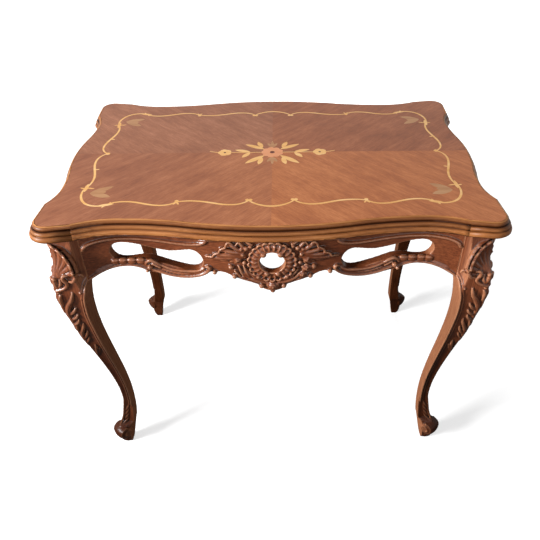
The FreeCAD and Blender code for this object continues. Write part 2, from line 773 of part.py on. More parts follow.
def vine_border():
    """Whole waving border with its knots, curls and barbs."""
    outer_y = FRONT_WAIST - VINE_MARGIN_FRONT
    inner_y = outer_y - VINE_WAVE
    outer_x = SIDE_WAIST - VINE_MARGIN_SIDE
    inner_x = outer_x - VINE_WAVE

    def at(x, y):
        return Vector(x, -y, 0)

    cusp = VINE_CUSP_AT
    knot = VINE_KNOT_AT
    sheath = VINE_SHEATH_AT
    first_wave = knot - cusp
    second_wave = sheath - knot

    def wave(start, length, shares):
        return [at(start + length * along, inner_y + VINE_WAVE * depth) for along, depth in shares]

    knot_point = at(knot, inner_y + VINE_WAVE * SECOND_WAVE[0][1])
    sheath_point = at(sheath, inner_y + VINE_WAVE * SWAG_SHOULDER[1])
    side_run = [at(outer_x - VINE_WIDTH, CORNER_KNOT_AT + BARB_WIDTH)]
    side_run += [at(outer_x - inset, CORNER_KNOT_AT * share) for share, inset in SIDE_WAVE]
    side_run.append(at(inner_x + VINE_TIP, CURL_RADIUS / 2))
    stalk_x = outer_x - VINE_WAVE / 2
    first_barb = wave(cusp, first_wave, FIRST_WAVE)[2]
    second_barb = wave(knot, second_wave, SECOND_WAVE)[3]
    quarter = [
        ribbon([at(cusp, inner_y)] + wave(cusp, first_wave, FIRST_WAVE)),
        ribbon(wave(knot, second_wave, SECOND_WAVE) + [sheath_point]),
        ribbon([
            at(sheath - SHEATH_WIDTH, inner_y + VINE_WAVE / 2),
            at(sheath + SHEATH_LENGTH / 2, outer_y),
            at((sheath + outer_x) / 2 + SHEATH_WIDTH, outer_y - SHEATH_WIDTH),
            at(stalk_x, (outer_y + CORNER_KNOT_AT) / 2 + BARB_WIDTH),
            at(outer_x - BARB_WIDTH, CORNER_KNOT_AT + SHEATH_LENGTH / 2),
            at(stalk_x, CORNER_KNOT_AT - BARB_WIDTH),
        ]),
        ribbon(side_run),
        leaf(at(sheath - SHEATH_LENGTH / 2, inner_y + VINE_WAVE / 2),
             at(sheath + SHEATH_LENGTH / 2, outer_y), SHEATH_WIDTH),
        barb(at(sheath - VINE_WIDTH, inner_y + VINE_WAVE * SWAG_SHOULDER[1]), 90 + BARB_OUT),
        barb(sheath_point, BARB_BACK),
        disc(at(knot, inner_y), CURL_RADIUS),
        barb(knot_point, BARB_BACK),
        barb(knot_point, 180 - BARB_BACK),
        barb(second_barb, BARB_OUT),
        barb(first_barb, BARB_OUT),
        disc(at(cusp + CURL_RADIUS * CURL_SPREAD, inner_y - CURL_RADIUS / 2), CURL_RADIUS),
        disc(at(cusp - CURL_RADIUS * CURL_SPREAD, inner_y - CURL_RADIUS / 2), CURL_RADIUS),
        leaf(at(stalk_x, CORNER_KNOT_AT + SHEATH_LENGTH / 2),
             at(stalk_x, CORNER_KNOT_AT - SHEATH_LENGTH / 2), SHEATH_WIDTH),
        barb(at(stalk_x, CORNER_KNOT_AT), 180 + BARB_OUT / 2, BARB_LENGTH * 1.6),
        barb(at(stalk_x, CORNER_KNOT_AT + BARB_WIDTH), BARB_OUT, BARB_LENGTH * 1.2),
        barb(at(outer_x - VINE_WIDTH, CORNER_KNOT_AT / 2), 180 - BARB_OUT),
    ]
    shoulder_at, shoulder_depth = SWAG_SHOULDER
    swag = ribbon([
        at(-cusp, inner_y),
        at(-cusp * shoulder_at, inner_y + VINE_WAVE * shoulder_depth),
        at(0, inner_y + VINE_WAVE * SWAG_CROWN),
        at(cusp * shoulder_at, inner_y + VINE_WAVE * shoulder_depth),
        at(cusp, inner_y),
    ])
    curl = disc(at(inner_x, 0), CURL_RADIUS + 1)
    pieces = [swag, mirrored(swag, False, True), curl, mirrored(curl, True, False)]
    for across_x in (False, True):
        for across_y in (False, True):
            pieces += [mirrored(piece, across_x, across_y) for piece in quarter]
    return fused(pieces)


def corner_motifs():
    """A three-pointed leaf inside each corner of the border."""
    root = Vector(SIDE_WAIST - CORNER_MOTIF_IN, -CORNER_KNOT_AT - CORNER_MOTIF_BACK, 0)
    leaves = []
    for reach, lift, width in CORNER_LEAVES:
        leaves.append(leaf(root, root + Vector(reach, lift, 0), width))
    motif = fused(leaves)
    return [mirrored(motif, across_x, across_y) for across_x in (False, True) for across_y in (False, True)]


def spray():
    """Rose, flowers, eyes, leaves, stems and buds in the middle, each cut out of what lies under it."""
    middle = Vector(0, 0, 0)
    flowers = [Vector(-FLOWER_AT, 0, 0), Vector(FLOWER_AT, 0, 0)]
    eyes = [disc(middle, ROSE_EYE_RADIUS)] + [disc(flower, FLOWER_EYE_RADIUS) for flower in flowers]
    rose = rosette(middle, ROSE_RADIUS, ROSE_PETALS).cut(eyes[0])
    small = []
    for flower, eye in zip(flowers, eyes[1:]):
        small.append(rosette(flower, FLOWER_RADIUS, FLOWER_PETALS).cut(eye))
    rim = ROSE_RADIUS
    leaves = []
    for base, tip, width in SPRAY_LEAVES:
        piece = leaf(Vector(*base, 0) * rim, Vector(*tip, 0) * rim, width)
        leaves += [piece, mirrored(piece, True, False)]
    flower_heads = [rosette(middle, ROSE_RADIUS, ROSE_PETALS)]
    flower_heads += [rosette(flower, FLOWER_RADIUS, FLOWER_PETALS) for flower in flowers]
    foliage = fused(leaves).cut(flower_heads)
    stems = []
    for side in (-1, 1):
        for run in (INNER_STEM, OUTER_STEM):
            line = [Vector(side * at * rim, lift * rim, 0) for at, lift in run]
            stems.append(ribbon(line, STEM_WIDTH, STEM_TIP))
    stalks = [stem.cut(flower_heads + [foliage]) for stem in stems]
    buds = []
    for side in (-1, 1):
        for lean in BUD_LEANS:
            foot, reach = BUD_REACH
            tip = Vector(lean * rim, side * (reach - abs(lean)) * rim, 0)
            buds.append(leaf(Vector(0, side * foot * rim, 0), tip, BUD_WIDTH))
    buds = fused(buds).cut(flower_heads + [foliage])
    return {
        "marquetry_rose": [rose],
        "marquetry_small_flowers": small,
        "marquetry_eyes": eyes,
        "marquetry_leaves": foliage.Solids,
        "marquetry_stems": [solid for stalk in stalks for solid in stalk.Solids],
        "marquetry_buds": buds.Solids,
    }


def veneer_quarters(inlays):
    """Four book-matched sheets round the middle of the field, cut out for the inlays."""
    field = prism(field_outline(), FIELD_BASE, TABLE_HEIGHT)
    sheets = {}
    for depth_name, low_y in (("front", -BEYOND), ("back", 0.0)):
        for side_name, low_x in (("left", -BEYOND), ("right", 0.0)):
            quarter = Part.makeBox(BEYOND, BEYOND, BEYOND, Vector(low_x, low_y, 0))
            sheets[f"veneer_{depth_name}_{side_name}"] = [field.common(quarter).cut(inlays)]
    return sheets


def table():
    """Every piece of the table, as lists of solids by name."""
    marquetry = spray()
    marquetry["marquetry_vine_border"] = vine_border().Solids
    marquetry["marquetry_corner_motifs"] = corner_motifs()
    inlays = [solid for solids in marquetry.values() for solid in solids]
    pieces = veneer_quarters(inlays)
    pieces.update(marquetry)

    sides = (
        ("front", 0, FRONT, FRONT_SETBACK, FRONT_ELEVATION, SEAM_Y),
        ("right", 1, SIDE, SIDE_SETBACK, SIDE_ELEVATION, SEAM_X),
        ("back", 2, FRONT, FRONT_SETBACK, FRONT_ELEVATION, SEAM_Y),
        ("left", 3, SIDE, SIDE_SETBACK, SIDE_ELEVATION, SEAM_X),
    )
    dowels = []
    screws = []
    for name, quarter, half, setback, plan, post_corner in sides:
        joint_dowels = apron_dowels(half, setback, plan.seam)
        board = apron(half, setback, plan).cut(joint_dowels)
        pieces[f"apron_{name}"] = [turned(board, quarter)]
        dowels += [turned(dowel, quarter) for dowel in joint_dowels]
        block = glue_block(half, setback, plan.seam, post_corner)
        screw = block_screw(half, setback, plan.seam, post_corner)
        for hand, across in (("right", False), ("left", True)):
            pieces[f"glue_block_{name}_{hand}"] = [turned(mirrored(block.cut(screw), across, False), quarter)]
            screws.append(turned(mirrored(screw, across, False), quarter))
    pieces["joint_dowels"] = dowels
    pieces["top_screws"] = screws

    front_moulding = side_moulding(FRONT, FRONT_CUSP_AT, EAR_FRONT, EAR_CORNER)
    side_piece = side_moulding(SIDE, SIDE_CUSP_AT, in_front(EAR_SIDE), in_front(EAR_CORNER))
    for name, quarter, piece in (
        ("front", 0, front_moulding),
        ("right", 1, side_piece),
        ("back", 2, front_moulding),
        ("left", 3, side_piece),
    ):
        pieces[f"edge_moulding_{name}"] = [turned(piece, quarter)]

    ear = ear_moulding()
    front_leg = leg()
    for depth_name, across_y in (("front", False), ("back", True)):
        for side_name, across_x in (("left", True), ("right", False)):
            corner = f"{depth_name}_{side_name}"
            pieces[f"edge_moulding_ear_{corner}"] = [mirrored(ear, across_x, across_y)]
            pieces[f"leg_{corner}"] = [mirrored(front_leg, across_x, across_y).cut(dowels)]

    pieces["top_core"] = [prism(field_outline(), UNDERSIDE, FIELD_BASE).cut(screws)]
    return pieces


def main():
    os.makedirs("parts", exist_ok=True)
    for name, solids in table().items():
        shape = solids[0] if len(solids) == 1 else Part.makeCompound(solids)
        shape.exportStep(f"parts/{name}.step")
        print(name, len(shape.Solids), shape.isValid(), round(shape.Volume))


main()
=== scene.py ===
# %% [markdown]
# # An occasional table with a marquetry top
# The table has a serpentine top of quartered veneer with an inlaid vine, four pierced aprons and four
# cabriole legs. The fixed frame already holds every solid in its place, in metres. This lesson gives the
# plain solids their carving and every surface its finish.

import math

import bpy
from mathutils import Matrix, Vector
from mathutils.geometry import intersect_point_line


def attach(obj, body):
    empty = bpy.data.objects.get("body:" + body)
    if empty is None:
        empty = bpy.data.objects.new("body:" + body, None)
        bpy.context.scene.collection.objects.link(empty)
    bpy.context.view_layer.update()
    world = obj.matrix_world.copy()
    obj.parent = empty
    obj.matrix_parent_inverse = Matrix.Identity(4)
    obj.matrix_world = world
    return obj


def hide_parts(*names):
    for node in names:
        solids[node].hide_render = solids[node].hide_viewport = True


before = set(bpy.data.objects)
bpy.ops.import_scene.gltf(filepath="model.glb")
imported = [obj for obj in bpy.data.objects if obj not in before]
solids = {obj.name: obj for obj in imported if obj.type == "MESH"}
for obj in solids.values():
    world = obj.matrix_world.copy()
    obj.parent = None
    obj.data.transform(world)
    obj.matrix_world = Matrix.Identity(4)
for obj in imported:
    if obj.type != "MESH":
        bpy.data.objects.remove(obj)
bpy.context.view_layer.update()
MM = 0.001
print("solids in the frame:", len(solids))


# %% [markdown]
# ## Ways of working
# A solid of the frame is never changed, so a carved piece starts as a merged copy of it. Carving could be
# sculpted by hand, but strokes are quicker to place and to correct: each stroke is a rounded ridge along a
# few points, thick in the middle and thin at its ends. All the strokes of a piece are joined to the copy,
# and a fine voxel remesh turns them into one skin of wood with soft valleys, as a carver's gouge leaves it.

# %% Helpers for pieces
def pick(piece):
    """Selects one piece alone."""
    bpy.ops.object.select_all(action="DESELECT")
    piece.select_set(True)
    bpy.context.view_layer.objects.active = piece


MERGE_DISTANCE = 0.01 * MM


def blank(node, name):
    """Merged copy of a solid, ready to be worked."""
    piece = bpy.data.objects.new(name, solids[node].data.copy())
    bpy.context.collection.objects.link(piece)
    pick(piece)
    bpy.ops.object.mode_set(mode="EDIT")
    bpy.ops.mesh.select_all(action="SELECT")
    bpy.ops.mesh.remove_doubles(threshold=MERGE_DISTANCE)
    bpy.ops.object.mode_set(mode="OBJECT")
    return piece


def ridges(strokes, closed=False):
    """Mesh of rounded ridges: every stroke is a list of points in metres with a radius in millimetres."""
    bpy.ops.object.select_all(action="DESELECT")
    bpy.ops.curve.primitive_nurbs_path_add()
    path = bpy.context.object
    curve = path.data
    curve.splines.clear()
    curve.bevel_depth = MM
    curve.bevel_resolution = 2
    curve.use_fill_caps = True
    curve.resolution_u = 4
    for stroke in strokes:
        spline = curve.splines.new("NURBS")
        spline.points.add(len(stroke) - 1)
        for point, (place, radius) in zip(spline.points, stroke):
            point.co = (*place, 1)
            point.radius = radius
        spline.order_u = 3
        spline.use_endpoint_u = not closed
        spline.use_cyclic_u = closed
    bpy.ops.object.convert(target="MESH")
    return bpy.context.object


def skinned(piece, voxel):
    """Turns all that a piece is joined from into one skin of even faces."""
    pick(piece)
    bpy.ops.object.modifier_add(type="REMESH")
    remesh = piece.modifiers[-1]
    remesh.mode = "VOXEL"
    remesh.voxel_size = voxel * MM
    remesh.use_smooth_shade = True
    bpy.ops.object.modifier_apply(modifier=remesh.name)


def softened(piece, passes, group=""):
    """Smooths a piece, or only the vertices of a group."""
    pick(piece)
    bpy.ops.object.modifier_add(type="SMOOTH")
    soften = piece.modifiers[-1]
    soften.factor = 0.5
    soften.iterations = passes
    soften.vertex_group = group
    bpy.ops.object.modifier_apply(modifier=soften.name)


def carved(piece, ornaments, voxel):
    """Joins ornaments to a blank and turns them into one skin."""
    bpy.ops.object.select_all(action="DESELECT")
    for ornament in ornaments:
        ornament.select_set(True)
    piece.select_set(True)
    bpy.context.view_layer.objects.active = piece
    bpy.ops.object.join()
    skinned(piece, voxel)
    softened(piece, 2)
    bpy.ops.object.shade_smooth()
    print(piece.name, "has", len(piece.data.polygons), "faces")
    return piece


def scooped(piece, cutter):
    """Takes the shape of a cutter out of a piece."""
    pick(piece)
    bpy.ops.object.modifier_add(type="BOOLEAN")
    scoop = piece.modifiers[-1]
    scoop.operation = "DIFFERENCE"
    scoop.object = cutter
    bpy.ops.object.modifier_apply(modifier=scoop.name)
    pick(cutter)
    bpy.ops.object.delete()


def place(piece, node, slot, finish):
    """Puts a finished piece in the place of its solid."""
    piece.data.materials.clear()
    piece.data.materials.append(finish)
    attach(piece, "root")
    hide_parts(node)


print("carving is measured in millimetres, each", MM, "m")


# %% [markdown]
# ## Finishes
# All the wood was stained and polished long ago. Colours are written as they look on a screen and turned
# to linear light by one function. One small function adds a node with its values and links.

# %% Helpers for finishes
def linear(colour):
    """Linear colour of an sRGB hex value."""
    channels = [int(colour[at:at + 2], 16) / 255 for at in (1, 3, 5)]
    return [c / 12.92 if c <= 0.04045 else ((c + 0.055) / 1.055) ** 2.4 for c in channels] + [1.0]


# sockets of a Mix node: its share, its two numbers, its two colours, and the colour that comes out
SHARE, NUMBER_A, NUMBER_B, COLOUR_A, COLOUR_B, COLOUR_OUT = 0, 2, 3, 6, 7, 2


def add(tree, kind, values=(), links=(), stops=(), **properties):
    """Adds a shader node: socket values, links from (node, output) to a socket, and ramp stops."""
    node = tree.nodes.new("ShaderNode" + kind)
    for name, value in properties.items():
        setattr(node, name, value)
    for socket, value in dict(values).items():
        node.inputs[socket].default_value = value
    for socket, (source, output) in dict(links).items():
        tree.links.new(source.outputs[output], node.inputs[socket])
    for index, (position, colour) in enumerate(stops):
        elements = node.color_ramp.elements
        stop = elements[index] if index < 2 else elements.new(position)
        stop.position = position
        stop.color = linear(colour)
    return node


def finish(name):
    """New material with its node tree and its shader."""
    material = bpy.data.materials.new(name)
    material.use_nodes = True
    tree = material.node_tree
    shader = tree.nodes["Principled BSDF"]
    return material, tree, shader


print("mid grey in linear light:", [round(value, 3) for value in linear("#808080")])


# %% [markdown]
# ### Carved walnut
# The legs and aprons are walnut under dark polish. The finish is built up in layers: wood and stain, inner
# sides painted paler as painted light, painted shade with some dirt in the hollows and a painted highlight
# with some wear on the ridges, then painted shade towards the floor, where dust also dulls the polish. The
# grain is a noise stretched along the length of the board, and the stain gathers in soft patches.

# %% Grain and stain of walnut
# fibres per metre, across the grain and along it
ACROSS = 650
ALONG = 26


def walnut_grain(tree, object_space, stretch):
    """Fibres of the wood, and its colour under the stain."""
    along = add(tree, "Mapping", {"Scale": stretch}, {"Vector": (object_space, "Object")})
    fibres = add(tree, "TexNoise", {"Scale": 1.0, "Detail": 6.0, "Roughness": 0.6}, {"Vector": (along, 0)})
    wood = add(tree, "ValToRGB", links={"Fac": (fibres, 0)},
               stops=((0.3, "#542a17"), (0.7, "#8e5030"), (0.5, "#733e24")))
    # patches about 60 mm across
    patches = add(tree, "TexNoise", {"Scale": 16.0, "Detail": 2.0}, {"Vector": (object_space, "Object")})
    patch_tone = add(tree, "ValToRGB", links={"Fac": (patches, 0)},
                     stops=((0.3, "#c4b4a8"), (0.7, "#ffffff")))
    stained = add(tree, "Mix", {SHARE: 1.0}, {COLOUR_A: (wood, 0), COLOUR_B: (patch_tone, 0)},
                  data_type="RGBA", blend_type="MULTIPLY")
    return fibres, stained


print("fibres are", round(1 / (ACROSS * MM), 1), "mm wide and", round(1 / (ALONG * MM)), "mm long")


# %% [markdown]
# Sides that look along the table towards its middle are painted paler, as painted light, so that they come
# out bright where the window falls on them. Which way a face looks comes from its normal, and which half of
# the table it is in comes from its place.

# %% Paler inner sides of walnut, as painted light
def painted_light_inner_sides(tree, spot, surface, fibres, stained):
    """How far a face looks to the middle of the table, and the colour with those sides painted paler, as
    painted light.
    """
    turned = add(tree, "SeparateXYZ", links={"Vector": (surface, "Normal")})
    half = add(tree, "Math", {}, {0: (spot, "X")}, operation="SIGN")
    away = add(tree, "Math", {}, {0: (half, 0), 1: (turned, "X")}, operation="MULTIPLY")
    inner = add(tree, "MapRange", {"From Min": -0.5, "From Max": -0.85}, {"Value": (away, 0)})
    # painted light: paler browns for the sides that look to the middle of the table
    pale = add(tree, "ValToRGB", links={"Fac": (fibres, 0)},
               stops=((0.35, "#845139"), (0.65, "#a06b4b")))
    inner_painted_lighter = add(tree, "Mix", {},
               {SHARE: (inner, 0), COLOUR_A: (stained, COLOUR_OUT), COLOUR_B: (pale, 0)}, data_type="RGBA")
    return inner, inner_painted_lighter


# %% [markdown]
# The hollows are painted nearly black, as painted shade with some polish and dust in them, and the ridges a
# lighter, pinker brown, as a painted highlight with some wear from hands. Pointiness tells the ridges from
# the hollows. The groove behind the rim of a shell, painted dark as shadow and dirt, is too wide for that, so
# the carving marks it on the mesh, in an attribute that is read here.

# %% Painted shade and highlight, with dirt and wear, of walnut
def shaded_and_worn(tree, surface, groove_shadow_and_dirt, wood):
    """Colour with painted shade in the hollows and a painted highlight on the ridges, with some dirt and
    wear.
    """
    # painted shade with some dirt: the hollows, found by Pointiness, and the groove behind a shell's rim
    hollow_shade = add(tree, "MapRange", {"From Min": 0.495, "From Max": 0.45},
                 {"Value": (surface, "Pointiness")})
    shade_and_dirt = add(tree, "Math", {}, {0: (hollow_shade, 0), 1: (groove_shadow_and_dirt, "Fac")}, operation="MAXIMUM")
    # painted highlight with some wear: the ridges, found by Pointiness
    ridge_highlight_and_wear = add(tree, "MapRange", {"From Min": 0.512, "From Max": 0.58},
                {"Value": (surface, "Pointiness")})
    # near black for the painted shade in the hollows
    darkened = add(tree, "Mix", {COLOUR_B: linear("#140804")},
                   {SHARE: (shade_and_dirt, 0), COLOUR_A: (wood, COLOUR_OUT)}, data_type="RGBA")
    # lighter, pinker brown for the painted highlight on the ridges
    return add(tree, "Mix", {COLOUR_B: linear("#b88462")},
               {SHARE: (ridge_highlight_and_wear, 0), COLOUR_A: (darkened, COLOUR_OUT)}, data_type="RGBA")


# %% [markdown]
# Towards the floor the wood is painted darker, as painted shade, and its polish is dulled, as by wax and
# dust;
# the inner sides are spared most of the painted shade. Faces turned to the middle of the table were never
# polished, so they are dull, and so is the groove behind a shell's rim, painted dark as shadow and dirt.

# %% Carved walnut
SHADE_AND_DUST_BOTTOM = 280
SHADE_AND_DUST_TOP = 450


def carved_walnut(name, stretch):
    """Old polished walnut with its grain along one axis."""
    material, tree, shader = finish(name)
    object_space = add(tree, "TexCoord")
    spot = add(tree, "SeparateXYZ", links={"Vector": (object_space, "Object")})
    surface = add(tree, "NewGeometry")
    # painted shadow and dirt in the groove behind a shell's rim, marked on the mesh
    groove_shadow_and_dirt = add(tree, "Attribute", attribute_name="undercut_shadow_and_dirt")
    fibres, stained = walnut_grain(tree, object_space, stretch)
    inner, inner_painted_lighter = painted_light_inner_sides(tree, spot, surface, fibres, stained)
    shaded_and_rubbed = shaded_and_worn(tree, surface, groove_shadow_and_dirt, inner_painted_lighter)
    # painted shade towards the floor: 1 high up and less near the floor; the same number also dulls the
    # polish there
    unshaded_and_clean = add(tree, "MapRange", {"From Min": SHADE_AND_DUST_BOTTOM * MM, "From Max": SHADE_AND_DUST_TOP * MM,
                                   "To Min": 0.32, "To Max": 1.0}, {"Value": (spot, "Z")})
    spared = add(tree, "Math", {1: 0.75}, {0: (inner, 0)}, operation="MULTIPLY")
    shown = add(tree, "Math", {}, {0: (unshaded_and_clean, 0), 1: (spared, 0)}, operation="MAXIMUM")
    # the painted shade towards the floor darkens the colour here
    shaded = add(tree, "Mix", {SHARE: 1.0}, {COLOUR_A: (shaded_and_rubbed, COLOUR_OUT), COLOUR_B: (shown, 0)},
                 data_type="RGBA", blend_type="MULTIPLY")
    tree.links.new(shaded.outputs[COLOUR_OUT], shader.inputs["Base Color"])
    # how far a face is turned to the middle of the table
    level = add(tree, "VectorMath", {1: (1, 1, 0)}, {0: (object_space, "Object")}, operation="MULTIPLY")
    outward = add(tree, "VectorMath", {}, {0: (level, 0)}, operation="NORMALIZE")
    facing = add(tree, "VectorMath", {}, {0: (outward, 0), 1: (surface, "Normal")},
                 operation="DOT_PRODUCT")
    inside = add(tree, "MapRange", {"From Min": -0.05, "From Max": -0.5}, {"Value": (facing, "Value")})
    matt = add(tree, "Math", {}, {0: (inside, 0), 1: (groove_shadow_and_dirt, "Fac")}, operation="MAXIMUM")
    gloss = add(tree, "MapRange", {"To Min": 0.24, "To Max": 0.38}, {"Value": (fibres, 0)})
    dull = add(tree, "Mix", {NUMBER_B: 0.8}, {SHARE: (matt, 0), NUMBER_A: (gloss, 0)}, data_type="FLOAT")
    tree.links.new(dull.outputs[0], shader.inputs["Roughness"])
    sheen = add(tree, "MapRange", {"To Min": 0.36, "To Max": 0.02}, {"Value": (matt, 0)})
    dusty = add(tree, "Math", {}, {0: (sheen, 0), 1: (unshaded_and_clean, 0)}, operation="MULTIPLY")
    # a model that loses this link shows one level from the middle of its range
    shader.inputs["Specular IOR Level"].default_value = 0.2
    tree.links.new(dusty.outputs[0], shader.inputs["Specular IOR Level"])
    pores = add(tree, "Bump", {"Strength": 0.12, "Distance": 0.4 * MM}, {"Height": (fibres, 0)})
    tree.links.new(pores.outputs[0], shader.inputs["Normal"])
    return material


upright_walnut = carved_walnut("carved_walnut_upright", (ACROSS, ACROSS, ALONG))
long_walnut = carved_walnut("carved_walnut_long_rail", (ALONG, ACROSS, ACROSS))
short_walnut = carved_walnut("carved_walnut_short_rail", (ACROSS, ALONG, ACROSS))
for walnut in (upright_walnut, long_walnut, short_walnut):
    print(walnut.name, "has", len(walnut.node_tree.nodes), "nodes")


# %% [markdown]
# ### Plain polished wood
# The edge moulding is a lighter, golden walnut. The glue blocks, dowels and core under the top are bare
# beech that has darkened. Each is a stretched noise between three browns, with broader stripes under the
# fibres and, in the veneer, soft clouds.

# %% Polished woods
# a stripe is this many fibres wide
STRIPE_WIDTH = 7


def straight_grain(name, stretch, colours, roughness, turn=0.0, striped=0.5, clouded=0.0):
    """Wood with fine straight fibres, broader stripes and soft clouds, turned about the vertical."""
    material, tree, shader = finish(name)
    object_space = add(tree, "TexCoord")
    turned = add(tree, "Mapping", {"Rotation": (0, 0, -turn)}, {"Vector": (object_space, "Object")})
    fine = add(tree, "Mapping", {"Scale": stretch}, {"Vector": (turned, 0)})
    fibres = add(tree, "TexNoise", {"Scale": 1.0, "Detail": 5.0, "Roughness": 0.65}, {"Vector": (fine, 0)})
    broad = add(tree, "Mapping", {"Scale": [value / STRIPE_WIDTH for value in stretch]},
                {"Vector": (turned, 0)})
    stripes = add(tree, "TexNoise", {"Scale": 1.0, "Detail": 3.0}, {"Vector": (broad, 0)})
    grain = add(tree, "Mix", {SHARE: striped}, {NUMBER_A: (fibres, 0), NUMBER_B: (stripes, 0)},
                data_type="FLOAT")
    # clouds about 50 mm across
    clouds = add(tree, "TexNoise", {"Scale": 20.0, "Detail": 3.0}, {"Vector": (object_space, "Object")})
    blend = add(tree, "Mix", {SHARE: clouded}, {NUMBER_A: (grain, 0), NUMBER_B: (clouds, 0)},
                data_type="FLOAT")
    wood = add(tree, "ValToRGB", links={"Fac": (blend, 0)},
               stops=((0.36, colours[0]), (0.64, colours[2]), (0.5, colours[1])))
    tree.links.new(wood.outputs[0], shader.inputs["Base Color"])
    gloss = add(tree, "MapRange", {"To Min": roughness - 0.06, "To Max": roughness + 0.1},
                {"Value": (fibres, 0)})
    tree.links.new(gloss.outputs[0], shader.inputs["Roughness"])
    shader.inputs["Specular IOR Level"].default_value = 0.18
    pores = add(tree, "Bump", {"Strength": 0.06, "Distance": 0.3 * MM}, {"Height": (fibres, 0)})
    tree.links.new(pores.outputs[0], shader.inputs["Normal"])
    return material


# fibres about 2 mm wide and 33 mm long
bare_beech = straight_grain("bare_beech", (30, 500, 500), ("#5d4029", "#6f4d31", "#82603f"), 0.7)
print("bare beech has", len(bare_beech.node_tree.nodes), "nodes")


# %% [markdown]
# Painted shade with some dirt darkens the cove, the nick and the quirk, and a painted highlight with some
# wear brightens the top edge, the same all round the table. So a ramp over the height tones the golden
# walnut.

# %% Golden walnut of the moulding
def shaded_and_grimed(material, axis, low, high, stops):
    """Multiplies a finish by tones that follow an axis between two places in millimetres."""
    tree = material.node_tree
    shader = tree.nodes["Principled BSDF"]
    wood = shader.inputs["Base Color"].links[0].from_node
    object_space = add(tree, "TexCoord")
    spot = add(tree, "SeparateXYZ", links={"Vector": (object_space, "Object")})
    share = add(tree, "MapRange", {"From Min": low * MM, "From Max": high * MM}, {"Value": (spot, axis)})
    tone = add(tree, "ValToRGB", links={"Fac": (share, 0)}, stops=stops)
    # painted shade and highlight, with dirt and wear, multiplied into the finish
    shaded_and_dirty = add(tree, "Mix", {SHARE: 1.0}, {COLOUR_A: (wood, 0), COLOUR_B: (tone, 0)}, data_type="RGBA",
                blend_type="MULTIPLY")
    tree.links.new(shaded_and_dirty.outputs[COLOUR_OUT], shader.inputs["Base Color"])


EDGE_BOTTOM = 556
EDGE_TOP = 580
GOLDEN = ("#84552f", "#a16a3c", "#bb8453")
# from the bottom up: dark cove, ovolo, dark nick, reed, dark quirk, bead and its top edge; the dark parts are
# painted shade with dirt, the top edge a painted highlight with wear
edge_tones = ((0.0, "#4a3a30"), (1.0, "#ffffff"), (0.08, "#806a5a"), (0.13, "#d0c2b4"), (0.3, "#dccfc2"),
              (0.38, "#b8a492"), (0.4, "#7a6656"), (0.44, "#846f5f"), (0.46, "#b8a898"),
              (0.58, "#ccbfb2"), (0.655, "#a89684"), (0.68, "#5c4838"), (0.745, "#5c4838"),
              (0.77, "#8c7868"), (0.86, "#a49282"), (0.955, "#bcac9c"), (0.975, "#ffffff"))
# fibres about 2 mm wide and 55 mm long
long_moulding = straight_grain("golden_walnut_long_edge", (18, 500, 500), GOLDEN, 0.4)
short_moulding = straight_grain("golden_walnut_short_edge", (500, 18, 500), GOLDEN, 0.4)
for moulding in (long_moulding, short_moulding):
    shaded_and_grimed(moulding, "Z", EDGE_BOTTOM, EDGE_TOP, edge_tones)
print("moulding tones from the cove to the worn edge:", len(edge_tones))

# %% [markdown]
# ### Quartered veneer
# The top is covered by four sheets of striped mahogany. Each is turned so that its stripes run from its
# corner to the middle. Each takes the light a little differently, and that is painted into its browns as
# painted light, so the quarters differ in tone.

# %% Veneer
VENEER_SLANT = math.radians(46)
# fibres about 1.5 mm wide and 12 mm long, and stripes seven times as large
VENEER_GRAIN = (80, 640, 80)
# painted light: each quarter's browns are the mahogany with the light it takes painted in
quarters = {
    "front_left": (VENEER_SLANT, ("#945638", "#ad6a45", "#c47f56")),
    "front_right": (-VENEER_SLANT, ("#985736", "#b16b42", "#c88052")),
    "back_left": (-VENEER_SLANT, ("#845039", "#9b6347", "#b2775a")),
    "back_right": (VENEER_SLANT, ("#7f4a31", "#985b3d", "#af6f4d")),
}
for quarter, (slant, colours) in quarters.items():
    sheet = solids["veneer_" + quarter]
    mahogany = straight_grain("striped_mahogany_" + quarter, VENEER_GRAIN, colours, 0.42, turn=slant,
                              striped=0.38, clouded=0.22)
    if quarter == "front_left":
        # painted sheen and shade: this sheet darkens from the middle of the table to its end
        shaded_and_grimed(mahogany, "X", -220, -20, ((0.0, "#e2e5f4"), (1.0, "#f8f9fc")))
    sheet.data.materials.clear()
    sheet.data.materials.append(mahogany)
print("veneer sheets:", len(quarters))

# %% [markdown]
# ### Inlays
# The vine and leaves are boxwood, the rose is pink-stained sycamore, the eyes are dark stained wood and
# the corner leaves have faded to grey-brown.

# %% Inlays
inlay_woods = {
    "boxwood": (("#dda05a", "#eeb873", "#f6ca8f"),
                ("vine_border", "leaves", "small_flowers", "stems")),
    "stained_sycamore": (("#cb8058", "#de9468", "#e8a67c"), ("rose",)),
    "dark_stained_pear": (("#4a2114", "#5c2c1c", "#6d3a26"), ("eyes",)),
    "faded_holly": (("#a87650", "#b6855c", "#c2946b"), ("buds", "corner_motifs")),
}
# fibres about 1.4 mm wide and 25 mm long
INLAY_GRAIN = (40, 700, 40)
for wood_name, (colours, motifs) in inlay_woods.items():
    inlay = straight_grain(wood_name + "_inlay", INLAY_GRAIN, colours, 0.4)
    for motif in motifs:
        chip = solids["marquetry_" + motif]
        chip.data.materials.clear()
        chip.data.materials.append(inlay)
print("inlay woods:", len(inlay_woods))

# %% [markdown]
# ### Hidden wood and screws
# These are seen only from below. The screws are dull steel with a brown tarnish.

# %% Hidden pieces
screw_steel, tree, shader = finish("tarnished_steel")
object_space = add(tree, "TexCoord")
